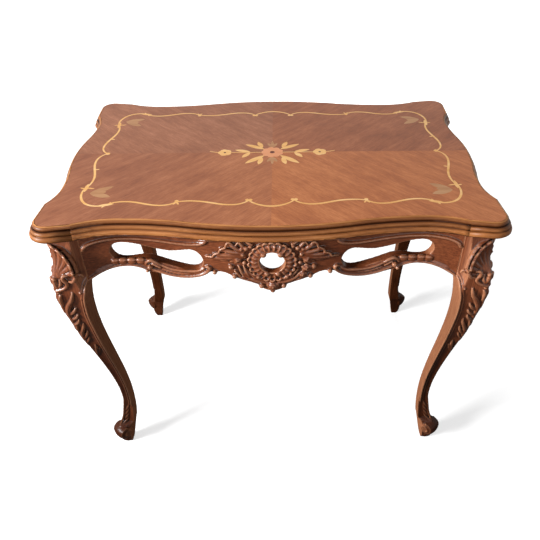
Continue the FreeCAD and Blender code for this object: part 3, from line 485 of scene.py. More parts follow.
# spots about a millimetre across
spots = add(tree, "TexNoise", {"Scale": 900.0, "Detail": 3.0}, {"Vector": (object_space, "Object")})
tarnish = add(tree, "ValToRGB", links={"Fac": (spots, 0)}, stops=((0.4, "#6b5a4c"), (0.6, "#8d8883")))
tree.links.new(tarnish.outputs[0], shader.inputs["Base Color"])
shader.inputs["Metallic"].default_value = 1.0
shader.inputs["Roughness"].default_value = 0.5
hidden = [name for name in solids
          if name.startswith("glue_block") or name in ("joint_dowels", "top_core", "top_screws")]
for name in hidden:
    solids[name].data.materials.clear()
    solids[name].data.materials.append(screw_steel if name == "top_screws" else bare_beech)
print("hidden solids:", len(hidden))

# %% [markdown]
# ## Edge moulding
# The frame's solids have the right section, but their facets are flat. A merged copy with smooth shading
# up to a sharp angle keeps the quirk and fillet crisp and rounds the bead and ovolo.

# %% Edge moulding
CRISP = math.radians(28)
mouldings = [name for name in solids if name.startswith("edge_moulding")]
for name in mouldings:
    piece = blank(name, "polished_" + name)
    bpy.ops.object.shade_smooth_by_angle(angle=CRISP)
    on_short_side = name.endswith(("right", "left")) and "ear" not in name
    place(piece, name, "moulding_walnut", short_moulding if on_short_side else long_moulding)
print("mouldings:", len(mouldings))

# %% [markdown]
# ## Carved legs
# Each leg has a shell on the arris of its knee, scrolls under it, husks down the arris, a bead along the
# inner edge, a leaf at the ankle and a scroll toe. One leg is carved and mirrored to the other corners.
# First come its main directions and the seams where it meets its aprons.

# %% Measures of a leg
leg = solids["leg_front_right"]
FRONT = Vector((0, -1, 0))
RIGHT = Vector((1, 0, 0))
DIAGONAL = Vector((1, -1, 0)).normalized()
SIDEWAYS = Vector((1, 1, 0)).normalized()
# where the upright plane through the arris meets the long axis of the table
DIAGONAL_FOOT = Vector((122.7, 0, 0)) * MM
SEAM_X = 301.5
SEAM_Y = 178.8
# height at which an apron has no slot
LEVEL_LINE = 550.0


def apron_face(node, start, direction):
    """Point of an apron's face, found from a start outside the table."""
    _, spot, _, _ = solids[node].ray_cast(Vector(start) * MM, -direction)
    return spot


front_face = apron_face("apron_front", (SEAM_X - 1, -400, LEVEL_LINE), FRONT)
side_face = apron_face("apron_right", (500, 1 - SEAM_Y, LEVEL_LINE), RIGHT)
print("apron faces at the leg:", round(front_face.y, 4), "and", round(side_face.x, 4))

# %% [markdown]
# A round gouge takes a cove beside each apron, so that the post grows out of the apron's face, and an oval
# takes the hollow of the shell out of the arris. Each is a plain cutter for a Boolean modifier.

# %% Scoop the block of a leg
COVE_RADIUS = 26.0
COVE_FOOT = 486.0
COVE_FADE = 58.0
COVE_LENGTH = 100.0
# the cove leaves the apron's face at the slope that the face has at the seam
COVE_BACK = 0.395 * COVE_RADIUS
COVE_OUT = 0.919 * COVE_RADIUS
HOLLOW_REACH = 338
HOLLOW_HEIGHT = 521
HOLLOW_SIZE = (31, 60, 50)
block = blank("leg_front_right", "carved_leg_front_right")
for x, y in (((SEAM_X - COVE_BACK) * MM, front_face.y - COVE_OUT * MM),
             (side_face.x + COVE_OUT * MM, (COVE_BACK - SEAM_Y) * MM)):
    bpy.ops.mesh.primitive_uv_sphere_add(segments=64, ring_count=64, radius=MM,
                                         location=(x, y, COVE_FOOT * MM),
                                         scale=(COVE_RADIUS, COVE_RADIUS, COVE_FADE))
    scooped(block, bpy.context.object)
    bpy.ops.mesh.primitive_cylinder_add(vertices=64, radius=COVE_RADIUS * MM, depth=COVE_LENGTH * MM,
                                        location=(x, y, COVE_FOOT * MM + COVE_LENGTH * MM / 2))
    scooped(block, bpy.context.object)
hollow_middle = DIAGONAL_FOOT + DIAGONAL * HOLLOW_REACH * MM + Vector((0, 0, HOLLOW_HEIGHT * MM))
bpy.ops.mesh.primitive_uv_sphere_add(segments=64, ring_count=32, radius=MM, location=hollow_middle,
                                     rotation=(0, 0, math.radians(-45)), scale=HOLLOW_SIZE)
scooped(block, bpy.context.object)
print("faces of the scooped block:", len(block.data.polygons))

# %% [markdown]
# The foot of each cove runs out softly into the face of the leg, so the block gets even faces and that band
# of them is smoothed.

# %% Soften the feet of the coves
LEG_VOXEL = 1.05
SOFT_BOTTOM = 430
SOFT_TOP = 500
SOFT_X = 318
SOFT_Y = -195
SOFT_PASSES = 14
skinned(block, LEG_VOXEL)
foot = block.vertex_groups.new(name="cove_foot")
soft = [v.index for v in block.data.vertices
        if SOFT_BOTTOM * MM < v.co.z < SOFT_TOP * MM and (v.co.x < SOFT_X * MM or v.co.y > SOFT_Y * MM)]
foot.add(soft, 1.0, "REPLACE")
softened(block, SOFT_PASSES, foot.name)
print("faces:", len(block.data.polygons), "softened points:", len(soft))


# %% [markdown]
# A point of the carving is given by its distance from the arris, its height and its lift from the wood,
# and a ray cast at the solid finds the wood.

# %% Where the wood of a leg is
# start of a ray that is clear of the table, and the place of the arris where a ray slips past it, in metres
OUTSIDE = 0.6
ARRIS_REACH = 0.3
# the arris turns into a flat face within these millimetres
LEAN_WIDTH = 14
# start of a ray off the wood, and the farthest wood that still belongs to the face, in metres
CLEARANCE = 0.05
FARTHEST = 0.022


def arris(height):
    """Point of the leg's outer corner at a height in millimetres."""
    start = DIAGONAL_FOOT + DIAGONAL * OUTSIDE + Vector((0, 0, height * MM))
    hit, spot, _, _ = leg.ray_cast(start, -DIAGONAL)
    return spot if hit else start - DIAGONAL * ARRIS_REACH


def on_leg(across, height, lift, wood=leg):
    """Point on a leg: across is towards the front when positive and towards the side when negative."""
    lean = max(-1.0, min(1.0, across / LEAN_WIDTH))
    angle = math.radians(-45 - 45 * lean)
    out = Vector((math.cos(angle), math.sin(angle), 0))
    run = -RIGHT if across > 0 else -FRONT
    flat = arris(height) + run * abs(across) * MM
    hit, spot, _, _ = wood.ray_cast(flat + out * CLEARANCE, -out)
    if not hit or (spot - flat).length > FARTHEST:
        spot = flat
    return spot + out * lift * MM


print("arris at the knee:", [round(value, 4) for value in arris(459)])

# %% [markdown]
# The shell is a fan of ribs that thicken from a hinge to a scalloped rim. The rim is drawn in layers that
# sink towards the post and wave less and less, so that a smooth wall carries it.

# %% Shell of the knee
# tips of the shell's ribs: sideways from the arris, out along the diagonal, height, radius
shell_ribs = ((5.5, 312.5, 536, 5.6), (15.6, 308.1, 530, 6.3), (24.0, 304.7, 519, 6.8),
              (30.4, 303.2, 505, 7.4), (33.2, 303.5, 491, 6.6))
# along a rib: share of its length, share of its radius, flare
RIB_SHAPE = ((0.0, 0.3, 0.0), (0.25, 0.45, 0.0), (0.5, 0.66, 0.0), (0.75, 0.86, 0.2), (0.9, 1.0, 0.8),
             (0.98, 1.0, 1.2), (1.03, 0.9, 0.6))
# layers of the rim: sink, radius, and how much of the wave is left
RIM_LAYERS = ((0.0, 2.4, 1.0), (2.5, 3.0, 0.5), (5.0, 3.6, 0.2), (8.5, 4.4, 0.0))
SHELL_HINGE = Vector((1.5, 324.5, 478))
SHELL_SAG = 5.0
SHELL_TURN = math.radians(20)
SCALLOP_REACH = 0.045
SCALLOP_LIFT = 0.7
DIP_REACH = 0.05
DIP_SINK = 2.0
tips = [Vector(rib[:3]) for rib in shell_ribs]
rim_top = Vector((0, tips[0].y, tips[0].z))


def on_shell(tip, share, lift, side):
    """Point over a rib of the shell, at a share of its length."""
    aside, reach, height = SHELL_HINGE.lerp(tip, share)
    reach -= SHELL_SAG * 4 * share * max(1 - share, 0)
    crest = DIAGONAL * reach + SIDEWAYS * side * aside + Vector((0, 0, height))
    out = DIAGONAL * math.cos(SHELL_TURN) + SIDEWAYS * side * math.sin(SHELL_TURN)
    return DIAGONAL_FOOT + (crest + out * lift) * MM


leg_strokes = []
for side in (-1, 1):
    for tip, (_, _, _, radius) in zip(tips, shell_ribs):
        leg_strokes.append([(on_shell(tip, share, flare - radius * girth, side), radius * girth)
                            for share, girth, flare in RIB_SHAPE])
    for sink, girth, wave in RIM_LAYERS:
        # the rim starts on the arris, a little inside its first scallop
        rim_line = [(on_shell(rim_top, 0.98, -1.0 - sink, side), girth)]
        for tip, following in zip(tips, tips[1:] + [None]):
            crest = on_shell(tip, 1.0 + SCALLOP_REACH * wave, SCALLOP_LIFT * wave - sink, side)
            rim_line.append((crest, girth))
            if following:
                between = tip.lerp(following, 0.5)
                dip = on_shell(between, 1.0 - DIP_REACH * wave, -DIP_SINK * wave - sink, side)
                rim_line.append((dip, girth))
        leg_strokes.append(rim_line)
print("shell strokes:", len(leg_strokes))


# %% [markdown]
# Scrolls, husks and buds are strokes given one by one: distance from the arris, height, lift and radius. Each
# is laid on both sides of the arris.

# %% Scrolls and husks of the knee
def leg_stroke(points, wood=leg):
    """A stroke on a leg and, unless it is on the arris, its mirror image."""
    sides = (1, -1) if any(point[0] for point in points) else (1,)
    return [[(on_leg(side * across, height, lift, wood), radius) for across, height, lift, radius in points]
            for side in sides]


# along a bud: place and thickness as shares of its radius
BUD_STEPS = ((-1.0, 0.25), (-0.6, 0.85), (0.0, 1.05), (0.6, 0.85), (1.0, 0.25))


def bud_stroke(across, height, lift, radius):
    """Small bud, as a short thick stroke."""
    return [(across, height + radius * step, lift, radius * girth) for step, girth in BUD_STEPS]


knee_strokes = (
    # lip of the shell, and the scroll from its hinge round the shield
    ((39, 490, 3, 2.4), (39.5, 482, 5, 3.2), (36, 475.5, 5, 3.2), (31, 473, 3.5, 2.4), (27, 473, 2, 1.6)),
    ((27, 484, 3, 1.8), (22, 486, 4.5, 2.8), (18, 482, 4.5, 3), (19, 476.5, 4, 3), (23, 472, 3, 3),
     (24, 466, 2.5, 3), (20, 461, 2.5, 3), (14, 457.5, 2.5, 2.8), (8, 455, 1.5, 2.4), (3, 453, 0.5, 2)),
    ((2, 480, -0.5, 3), (5, 473, 1, 3.6), (6, 466, 1, 3.4), (7, 460, 0, 2.2)),
    ((12, 476, 0, 1.6), (14, 470, 1.5, 2.6), (11, 463, 1.5, 2.4), (8, 459, 0, 1.4)),
    # leaf tip beside the shell
    ((50, 479, -4, 1.4), (48.5, 483.5, -2.5, 2.4), (45, 485.5, -0.5, 3.2), (41, 483, 0.8, 3.4),
     (36, 477, 1, 2.8)),
    # first husk
    ((27, 449, 0.5, 1.4), (25.5, 442, 2.5, 2.8), (22, 433, 3, 3.8), (15, 424, 2.5, 4.2),
     (8, 411, 1, 4.2), (5, 397, 0, 3.6), (4, 378, -1, 2.4)),
    ((6, 396, 0, 2.2), (13, 402, 2, 3.4), (20, 409, 2.5, 3), (22, 414, 1, 1.4)),
    ((5, 384, 0, 2.2), (12, 388, 2, 3.2), (18, 393, 2.5, 2.8), (20, 398, 1, 1.4)),
    ((4, 370, 0, 2), (10, 374, 2, 3), (15, 379, 2, 2.4), (16, 384, 1, 1.2)),
    ((3, 420, 0, 2.2), (5, 430, 1.5, 3.2), (5, 439, 2, 2.8), (8, 445, 1, 1.4)),
    ((0, 402, -1, 2.6), (0, 416, -0.5, 3), (0, 428, -1, 1.6)),
    # second husk
    ((19.5, 374, 0.5, 1.2), (18, 366, 2, 2.8), (12, 356, 2.5, 3.4), (6, 345, 1, 3.4), (3, 330, 0, 2.8),
     (0.5, 308, -1, 1.8)),
    ((4, 330, 0, 2), (10, 337, 2, 3), (16, 347, 2, 2.4), (18, 353, 1, 1.2)),
    ((3, 318, 0, 1.8), (8, 324, 1.5, 2.6), (12, 331, 1.5, 1.8), (13, 335, 0.5, 1)),
    ((3, 352, 0, 2), (4, 361, 1, 2.6), (7, 369, 1, 1.4)),
    # third husk
    ((12.5, 309, 0.5, 1.4), (12, 301, 2, 3), (8, 291, 1.5, 3), (3, 275, -0.5, 1.6)),
    ((15, 298, 1, 1.8), (11, 288, 1, 2.2), (6, 278, -0.5, 1.4)),
)
for stroke in knee_strokes:
    leg_strokes += leg_stroke(stroke)
for bud in ((40, 448, 0, 2.4), (6, 450, 0.5, 3), (5, 477, 1, 3.6)):
    leg_strokes += leg_stroke(bud_stroke(*bud))
print("with knee and husk strokes:", len(leg_strokes))

# %% [markdown]
# A pair of beads starts beside the post, follows the inner edge of both outer faces and dies at the ankle.

# %% Beads of a leg
# from the knee to the ankle: distance from the arris, height
shaft = ((42.4, 433), (39.2, 412), (35.9, 391), (32.3, 353), (27.8, 315), (22.8, 262), (19.8, 215),
         (17.3, 170), (15.8, 130), (15.8, 108))
# the turn from the arch of the apron to the face of the leg
inner_turn = ((302, -214.5, 463.5), (304.4, -219.5, 460), (305.8, -225.5, 455), (306.4, -230.4, 448.5))
outer_turn = ((302, -214.8, 468.5), (306, -218.5, 465), (309, -223.5, 460), (310.6, -229.5, 453),
              (311, -231.2, 446))
for turn, offset, lift, radius in ((inner_turn, 0.0, 1.0, 1.7), (outer_turn, 5.0, 0.5, 1.2)):
    front_run, side_run = leg_stroke([(across - offset, height, lift, radius) for across, height in shaft],
                                     block)
    front = [(Vector(spot) * MM, radius) for spot in turn]
    # the side is the mirror image of the front in the plane of the arris
    side = [(Vector((DIAGONAL_FOOT.x - spot.y, DIAGONAL_FOOT.x - spot.x, spot.z)), radius)
            for spot, radius in front]
    leg_strokes += [front + front_run, side + side_run]
print("with beads:", len(leg_strokes))

# %% [markdown]
# The ankle leaf points up from the toe: a rib on the arris and four veins on each side. The toe's scroll is
# a spiral on each side of it that winds inwards and rises.

# %% Ankle leaf and toe
ankle = [((0, 58, -0.5, 1.4), (0, 74, 0.5, 2.4), (0, 96, 0.5, 2.2), (0, 120, -0.5, 1))]
for height in (58, 69, 80, 91):
    ankle.append(((2, height, -0.5, 1.2), (5, height + 5, 0.8, 2.2), (8, height + 11, 0.8, 2),
                  (10, height + 18, -0.2, 0.9)))
for stroke in ankle:
    leg_strokes += leg_stroke(stroke)
TOE_MIDDLE = Vector((324.3, -201.6, 40.0)) * MM
SCROLL_STEPS = 16
SCROLL_GIRTH = 1.9
# at the first step: degrees, distance from the middle and distance from the arris
SCROLL_START, SCROLL_REACH, SCROLL_BULGE = 100, 14.5, 13.5
# what each step adds to them or takes away
SCROLL_TURN, SCROLL_WIND, SCROLL_RISE = 34, 0.62, 0.2
for side in (-1, 1):
    spiral = []
    for step in range(SCROLL_STEPS):
        turn = math.radians(SCROLL_START - SCROLL_TURN * step)
        reach = SCROLL_REACH - SCROLL_WIND * step
        bulge = SCROLL_BULGE + SCROLL_RISE * step
        spot = DIAGONAL * math.cos(turn) * reach * MM + Vector((0, 0, math.sin(turn) * reach * MM))
        spiral.append((TOE_MIDDLE + spot + SIDEWAYS * side * bulge * MM, SCROLL_GIRTH))
    leg_strokes.append(spiral)
print("all leg strokes:", len(leg_strokes))

# %% [markdown]
# Now the block takes its strokes. A carver undercuts the rim of the shell so that it stands free, and the rim
# casts a shadow into the groove behind it, where dirt also gathers. Here the groove is only marked: each
# point of the mesh gets a number that says how deep in the groove it is, and the walnut finish paints it
# dark, as painted shadow and dirt.

# %% Carve the leg and mark its groove for painted shadow
master_leg = carved(block, [ridges(leg_strokes)], LEG_VOXEL)
# distances from the middle of the rim
SHADOW_BAND_START = 2.4
SHADOW_BAND_END = 7.0
SHADOW_BAND_FADE = 2
rim_points = [rim_top] + tips


def undercut_shadow_and_dirt(spot):
    """How deep in the groove behind the rim of the shell a point is, from 0 to 1, for its painted shadow and
    dirt.
    """
    spot = (spot - DIAGONAL_FOOT) / MM
    if spot.z < SHELL_HINGE.z:
        return 0.0
    here = Vector((abs(spot.dot(SIDEWAYS)), spot.dot(DIAGONAL), spot.z))
    nearest = []
    for start, end in zip(rim_points, rim_points[1:]):
        share = intersect_point_line(here, start, end)[1]
        nearest.append(start.lerp(end, max(0.0, min(1.0, share))))
    rim_point = min(nearest, key=lambda point: (point - here).length)
    fan = rim_point - SHELL_HINGE
    away = here - rim_point
    # the side of the rim that faces the hinge is the shell itself
    if fan.x * away.x + fan.z * away.z < 0:
        return 0.0
    return max(0.0, min(1.0, away.length - SHADOW_BAND_START, (SHADOW_BAND_END - away.length) / SHADOW_BAND_FADE))


# the groove is painted dark: painted shadow of the rim, with some dirt
depths = [undercut_shadow_and_dirt(vertex.co) for vertex in master_leg.data.vertices]
groove_shadow_and_dirt = master_leg.data.attributes.new("undercut_shadow_and_dirt", "FLOAT", "POINT")
groove_shadow_and_dirt.data.foreach_set("value", depths)
print("points in the groove:", sum(depth > 0 for depth in depths))


# %% [markdown]
# Three more legs are mirrored from this one, each with a mesh of its own. A mirror turns a mesh inside out,
# so the faces are turned back.

# %% Mirror the legs
def mirrored(piece, name, flip):
    """Copy of a piece with its own mesh, mirrored about the middle of the table."""
    pick(piece)
    bpy.ops.object.duplicate()
    copy = bpy.context.object
    copy.name = name
    bpy.ops.object.mode_set(mode="EDIT")
    bpy.ops.mesh.select_all(action="SELECT")
    bpy.ops.transform.resize(value=flip, center_override=(0, 0, 0))
    if flip[0] * flip[1] < 0:
        bpy.ops.mesh.flip_normals()
    bpy.ops.object.mode_set(mode="OBJECT")
    return copy


carved_legs = {"front_right": master_leg}
for corner, flip in (("front_left", (-1, 1, 1)), ("back_right", (1, -1, 1)), ("back_left", (-1, -1, 1))):
    carved_legs[corner] = mirrored(master_leg, "carved_leg_" + corner, flip)
print("carved legs:", len(carved_legs))

# %% [markdown]
# ## Carved aprons
# Each apron has a wreath round its hole, roses and leaves beside it, acanthus wings, and beaded rails
# above and below its slots. The design is drawn once, for the right half of a long apron, as distance
# from the middle, height, lift and radius. The short aprons use it squeezed between the same stations.

# %% Where the wood of an apron is
def face_of(node, direction):
    """Function that gives a point on the face of an apron."""
    board = solids[node]
    run = Vector((-direction.y, direction.x, 0))
    depths = {}
    last_depth = 0.0

    def on_apron(along, height, lift):
        nonlocal last_depth
        key = round(along, 1)
        if key not in depths:
            start = direction * OUTSIDE + run * along * MM + Vector((0, 0, LEVEL_LINE * MM))
            hit, spot, _, _ = board.ray_cast(start, -direction)
            # past the end of the board its face goes on as it was
            last_depth = spot.dot(direction) if hit else last_depth
            depths[key] = last_depth
        return direction * (depths[key] + lift * MM) + run * along * MM + Vector((0, 0, height * MM))

    return on_apron


on_long_apron = face_of("apron_front", FRONT)
on_short_apron = face_of("apron_right", RIGHT)
print("long apron face:", [round(on_long_apron(at, LEVEL_LINE, 0).y, 4) for at in (0, 120, 235, 300)])

# %% [markdown]
# The rails: an upper bead that ends in a curl at the wreath and a scroll at the leg, a belly with three
# reeds, a band of pillows over the arch, and a bead that follows the arch to the leg.

# %% Strokes of the rails
rail_strokes = [
    # upper bead from the scroll at the leg to the curl at the wreath
    [(299, 520, 0.5, 2.8), (297, 526, 1.2, 3.4), (288, 530.5, 1.2, 2.8), (275, 533, 1, 2.5),
     (254, 535, 1, 2.5), (231, 535.5, 1, 2.5), (206, 534.5, 1, 2.5), (178, 532, 1, 2.5),
     (150, 529, 1, 2.5), (128, 529, 1, 2.7), (112, 532, 1.5, 3), (103, 537, 1.5, 2.6),
     (102, 541, 1, 1.8)],
    [(114, 537, 0, 1.4), (103, 541, 1, 2.2), (92, 542, 1, 2.2), (83, 541, 0, 1.2)],
    # reeds of the belly
    [(190, 488, 0, 2), (178, 482, 1.2, 2.6), (165, 476.5, 1.5, 2.8), (150, 474.5, 1.5, 2.8),
     (134, 475, 1.5, 2.8), (117, 477.5, 1, 2.4), (110, 484, 0.5, 1.8)],
    [(197, 473, 0, 1.8), (186, 469, 1.2, 2.6), (165, 464, 1.8, 2.8), (150, 463, 1.8, 2.8),
     (136, 464, 1.8, 2.8), (117, 469.5, 1.8, 2.8), (105, 478, 2.2, 3), (100, 486, 2.8, 3.4),
     (104, 490, 2.4, 2.8), (108, 487, 1.5, 1.8)],
    [(180, 473.5, 0, 1.2), (165, 470, 1, 2), (150, 468.6, 1, 2), (134, 469.6, 1, 2), (118, 474, 1, 2),
     (110, 481, 1, 1.6)],
    # leaf that curls round the bud
    [(207, 484, 1, 1.8), (204, 490, 2, 2.8), (197, 493.5, 2.5, 3.2), (189, 490, 2.5, 3.2),
     (181, 483, 1.2, 2.4)],
    [(196, 486, 1.5, 1.6), (190, 482, 2, 2.2), (183, 477, 1, 1.6)],
    # bead of the arch
    [(207, 473, 0, 1.6), (214, 478, 1, 2.2), (226, 482, 1, 2.4), (240, 483, 1, 2.4), (258, 481, 1, 2.4),
     (276, 475.5, 1, 2.4), (290, 468.5, 1, 2.4), (298, 464, 1, 2.3), (304, 459.5, 1, 2.2)],
    [(262, 484, 0, 1), (276, 479.8, 0.3, 1.4), (290, 473.2, 0.3, 1.5), (303, 465, 0.3, 1.5)],
]
# pillows of the band: two ridges each, one above the other, thinner and lower at their ends
for start, end in ((208, 219), (222, 234), (237, 248), (250, 259)):
    middle = (start + end) / 2
    for height, lift, girth in ((491.5, 0.2, 4.2), (488, 0, 4.0)):
        rail_strokes.append([(start, height, lift - 0.5, girth * 0.75),
                             (middle - 4, height + 0.6, lift, girth), (middle + 4, height + 0.6, lift, girth),
                             (end, height, lift - 0.5, girth * 0.75)])
rail_buds = [(200, 479.5, 3.5, 4.8), (93, 479, 2.5, 4), (206, 470, 1, 3.2)]
print("rail strokes:", len(rail_strokes))

# %% [markdown]
# Beside the wreath: an acanthus wing of curling lobes, a garland of roses and buds, and blades of leaf
# that sweep up from the rose at the bottom.

# %% Strokes of the wing and garland
wing_strokes = [
    # veins of the acanthus leaf, fanned out from the wreath
    [(42, 514, 1, 3.4), (58, 513, 2.5, 4), (74, 511, 3, 4), (90, 509.5, 2, 3), (105, 508.5, 0.5, 1.4)],
    [(44, 517, 1.5, 3.2), (58, 517, 3, 3.8), (74, 517, 3.5, 3.8), (86, 516.5, 3, 3), (93, 515, 1, 1.4)],
    [(44, 520, 1.5, 3.2), (56, 522, 3, 3.8), (68, 525, 3.8, 3.8), (78, 527, 3, 3), (83, 526.5, 1, 1.4)],
    [(43, 523, 1.5, 3.2), (52, 528, 3, 3.6), (60, 534, 3.8, 3.6), (66, 540, 3, 2.8), (70, 542, 1, 1.4)],
    [(40, 526, 1.5, 3), (45, 534, 3, 3.4), (50, 541, 2.5, 2.6)],
    [(62, 511, 2, 2.6), (72, 507, 2.5, 3), (80, 504.5, 1.5, 2), (84, 505, 0.5, 1.2)],
    [(54, 510, 2, 2.6), (61, 505, 2.5, 2.8), (67, 503, 1.5, 1.8)],
    [(30, 537, 2.5, 2.6), (36, 541, 3, 3), (41, 543.5, 1.5, 1.6)],
    # ruffled lip along the leaf's upper edge
    [(106, 509, 1, 1.3), (99, 511.5, 3.5, 1.8), (94, 511, 4.2, 2), (92, 516, 4.6, 2),
     (87, 519.5, 4.8, 2), (83, 520, 4.8, 2), (82, 526, 5, 2), (76, 530, 5, 2), (72, 531, 5, 2),
     (71, 538, 4.8, 2), (66, 542, 4.2, 2), (61, 538, 4, 1.8), (57, 533, 3.5, 1.6), (55, 538, 3.5, 1.8),
     (51, 543, 3, 1.6), (46, 537, 2.5, 1.4)],
    # blades from the rose at the bottom
    [(6, 462, 2, 2.8), (20, 464, 3, 3.2), (34, 470, 3, 3.2), (45, 479, 2.5, 2.6), (52, 490, 1, 1.4)],
    [(10, 466, 2, 2.4), (24, 471, 3.5, 2.8), (34, 479, 3.5, 2.6), (41, 489, 2.5, 1.6)],
    [(22, 461, 0.5, 2.2), (36, 465, 1.5, 2.6), (50, 471, 1.5, 2.6), (62, 477, 0.5, 1.4)],
]
# the left half has three more blades where the right half has two roses
left_strokes = [
    [(33, 467, 2, 1.6), (38, 478, 4, 2.6), (43, 488, 4, 2.6), (46, 497, 2, 1.4)],
    [(42, 468, 1.5, 1.6), (47, 478, 3, 2.6), (51, 487, 3, 2.6), (54, 495, 1.5, 1.4)],
    [(50, 471, 1, 1.6), (56, 479, 2.5, 2.4), (61, 485, 2, 1.6)],
]
right_roses = [(54, 491, 8.5, 3.0), (48, 478, 7.5, 3.0)]
garland_roses = [(55, 508, 7.5, 3.5), (0, 457, 11, 4.0)]
garland_buds = [(66, 492, 2, 4.6), (61, 473, 2, 4.4), (44, 503, 3.5, 3.6), (46, 519, 4, 3.4),
                (40, 531, 3.5, 4), (48, 529, 3.5, 3.4), (33, 535, 3, 3.4), (18, 455, 2.5, 4.6),
                (0, 446, 3, 4.4), (9, 484, 7, 4.6), (13.5, 521.5, 6.5, 5.2), (23, 477, 6, 3.8)]
print("wing strokes:", len(wing_strokes), "buds:", len(garland_buds))


# %% [markdown]
# A rose is a ring of outer petals, a ring of inner petals and a bud. Each petal is a short arc.

# %% Rose
# rings of petals: count, reach, thickness and rise as shares of the rose's size, and the first angle
PETAL_RINGS = ((5, 0.72, 0.3, 0.0, 0.3), (3, 0.36, 0.26, 0.3, 1.0))
# along a petal: place as a share of its angle, share of its thickness
PETAL_STEPS = ((-0.42, 0.5), (-0.2, 1.0), (0.2, 1.0), (0.42, 0.5))


def rose_strokes(along, height, size, lift):
    """Petals and bud of a rose."""
    petals = []
    for count, ring, girth, rise, start in PETAL_RINGS:
        for petal in range(count):
            arc = []
            for step, swell in PETAL_STEPS:
                angle = start + 2 * math.pi * (petal + step) / count
                arc.append((along + size * ring * math.cos(angle), height + size * ring * math.sin(angle),
                            lift + size * rise, size * girth * swell))
            petals.append(arc)
    return petals + [bud_stroke(along, height, lift + size * 0.45, size * 0.24)]


print("strokes of a rose:", len(rose_strokes(*garland_roses[0])))

# %% [markdown]
# The wreath is a ring of radial reeds with a ruffled rim, and a plain bead round the hole.

# %% Wreath
WREATH_HEIGHT = 506.0
FLUTES = 22
# along a reed: distance from the middle, lift, radius
REED_SHAPE = ((21.5, 6.4, 1.0), (24, 7.6, 1.2), (28, 7.8, 1.4), (32, 6.6, 1.5), (35, 4.6, 1.4))
RIM_STEPS = 6
RIM_REACH = 34.4
RIM_RUFFLE = 3.8
RIM_LIFT = 4.8
RUFFLE_LIFT = 1.6
RIM_GIRTH = 1.9
EYELET_STEPS = 48
EYELET_REACH = 21.2
EYELET_LIFT = 6.8
EYELET_GIRTH = 1.6


def round_wreath(angle, reach, lift, girth):
    """Point of a stroke at an angle and a distance from the middle of the wreath."""
    return (reach * math.cos(angle), WREATH_HEIGHT + reach * math.sin(angle), lift, girth)


reed_strokes = []
for reed in range(FLUTES):
    angle = 2 * math.pi * reed / FLUTES
    reed_strokes.append([round_wreath(angle, *point) for point in REED_SHAPE])
rim = []
for step in range(FLUTES * RIM_STEPS):
    angle = 2 * math.pi * step / (FLUTES * RIM_STEPS)
    ruffle = abs(math.sin(angle * FLUTES / 2))
    rim.append(round_wreath(angle, RIM_REACH + RIM_RUFFLE * ruffle, RIM_LIFT + RUFFLE_LIFT * ruffle,
                            RIM_GIRTH))
eyelet = []
for step in range(EYELET_STEPS):
    angle = 2 * math.pi * step / EYELET_STEPS
    eyelet.append(round_wreath(angle, EYELET_REACH, EYELET_LIFT, EYELET_GIRTH))
print("flutes of the wreath:", FLUTES)

# %% [markdown]
# The right half is mirrored to the left, laid on the board and joined to it. The wreath stays round on
# the short aprons, and the rest is squeezed to fit between the leg and the wreath.

# %% Lay the design on an apron
LONG_STATIONS = (0, 24, 40, 64, 86, 102, 150, 204, 240, 260, 301.5)
SHORT_STATIONS = (0, 22, 38, 50, 59, 66, 86, 112, 131, 143, 178.8)


def squeezed(along):
    """Place on a short apron of a place on a long one."""
    size = abs(along)
    for low, high, short_low, short_high in zip(LONG_STATIONS, LONG_STATIONS[1:],
                                                SHORT_STATIONS, SHORT_STATIONS[1:]):
        if size <= high:
            return math.copysign(short_low + (short_high - short_low) * (size - low) / (high - low), along)
    return math.copysign(SHORT_STATIONS[-1], along)


def design(on_apron, fit):
    """Ornaments of one apron, laid on its face."""
    both = rail_strokes + wing_strokes + [bud_stroke(*bud) for bud in rail_buds + garland_buds]
    for rose in garland_roses:
        both = both + rose_strokes(*rose)
    right = list(both)
    for rose in right_roses:
        right = right + rose_strokes(*rose)
    laid = []
    for side, half in ((1, right), (-1, both + left_strokes)):
        for stroke in half:
            laid.append([(on_apron(fit(along * side), height, lift), girth)
                         for along, height, lift, girth in stroke])
    for stroke in reed_strokes:
        laid.append([(on_apron(along, height, lift), girth) for along, height, lift, girth in stroke])
    rings = []
    for ring in (rim, eyelet):
        rings.append([(on_apron(along, height, lift), girth) for along, height, lift, girth in ring])
    return [ridges(laid), ridges(rings, closed=True)]


print("tip of the wing on a short apron:", round(squeezed(106), 1))


# %% [markdown]
# A carver bevels a pierced hole from behind, so that the board looks thin from the front, and so does the
# cone here. The carving needs small faces, but the plain back of a long apron does not. Most of its faces
# are taken away, which leaves the shape as it is.

# %% Bevel and thin the back of an apron
BEVEL_START = 5.0
BEVEL_DEPTH = 13.0
HOLE_RADIUS = 20.0
BACK_SHARE = 0.12
# a point belongs to the back if its normal is this close to the inward direction
BACK_FACING = 0.85


def bevelled(piece, face, direction):
    """Widens the hole of the wreath towards the back of the board."""
    middle = face - direction * (BEVEL_START + BEVEL_DEPTH / 2) * MM
    bpy.ops.mesh.primitive_cone_add(vertices=64, radius1=(HOLE_RADIUS + BEVEL_DEPTH) * MM,
                                    radius2=HOLE_RADIUS * MM, depth=BEVEL_DEPTH * MM, location=middle,
                                    rotation=direction.to_track_quat("Z", "Y").to_euler())
    scooped(piece, bpy.context.object)


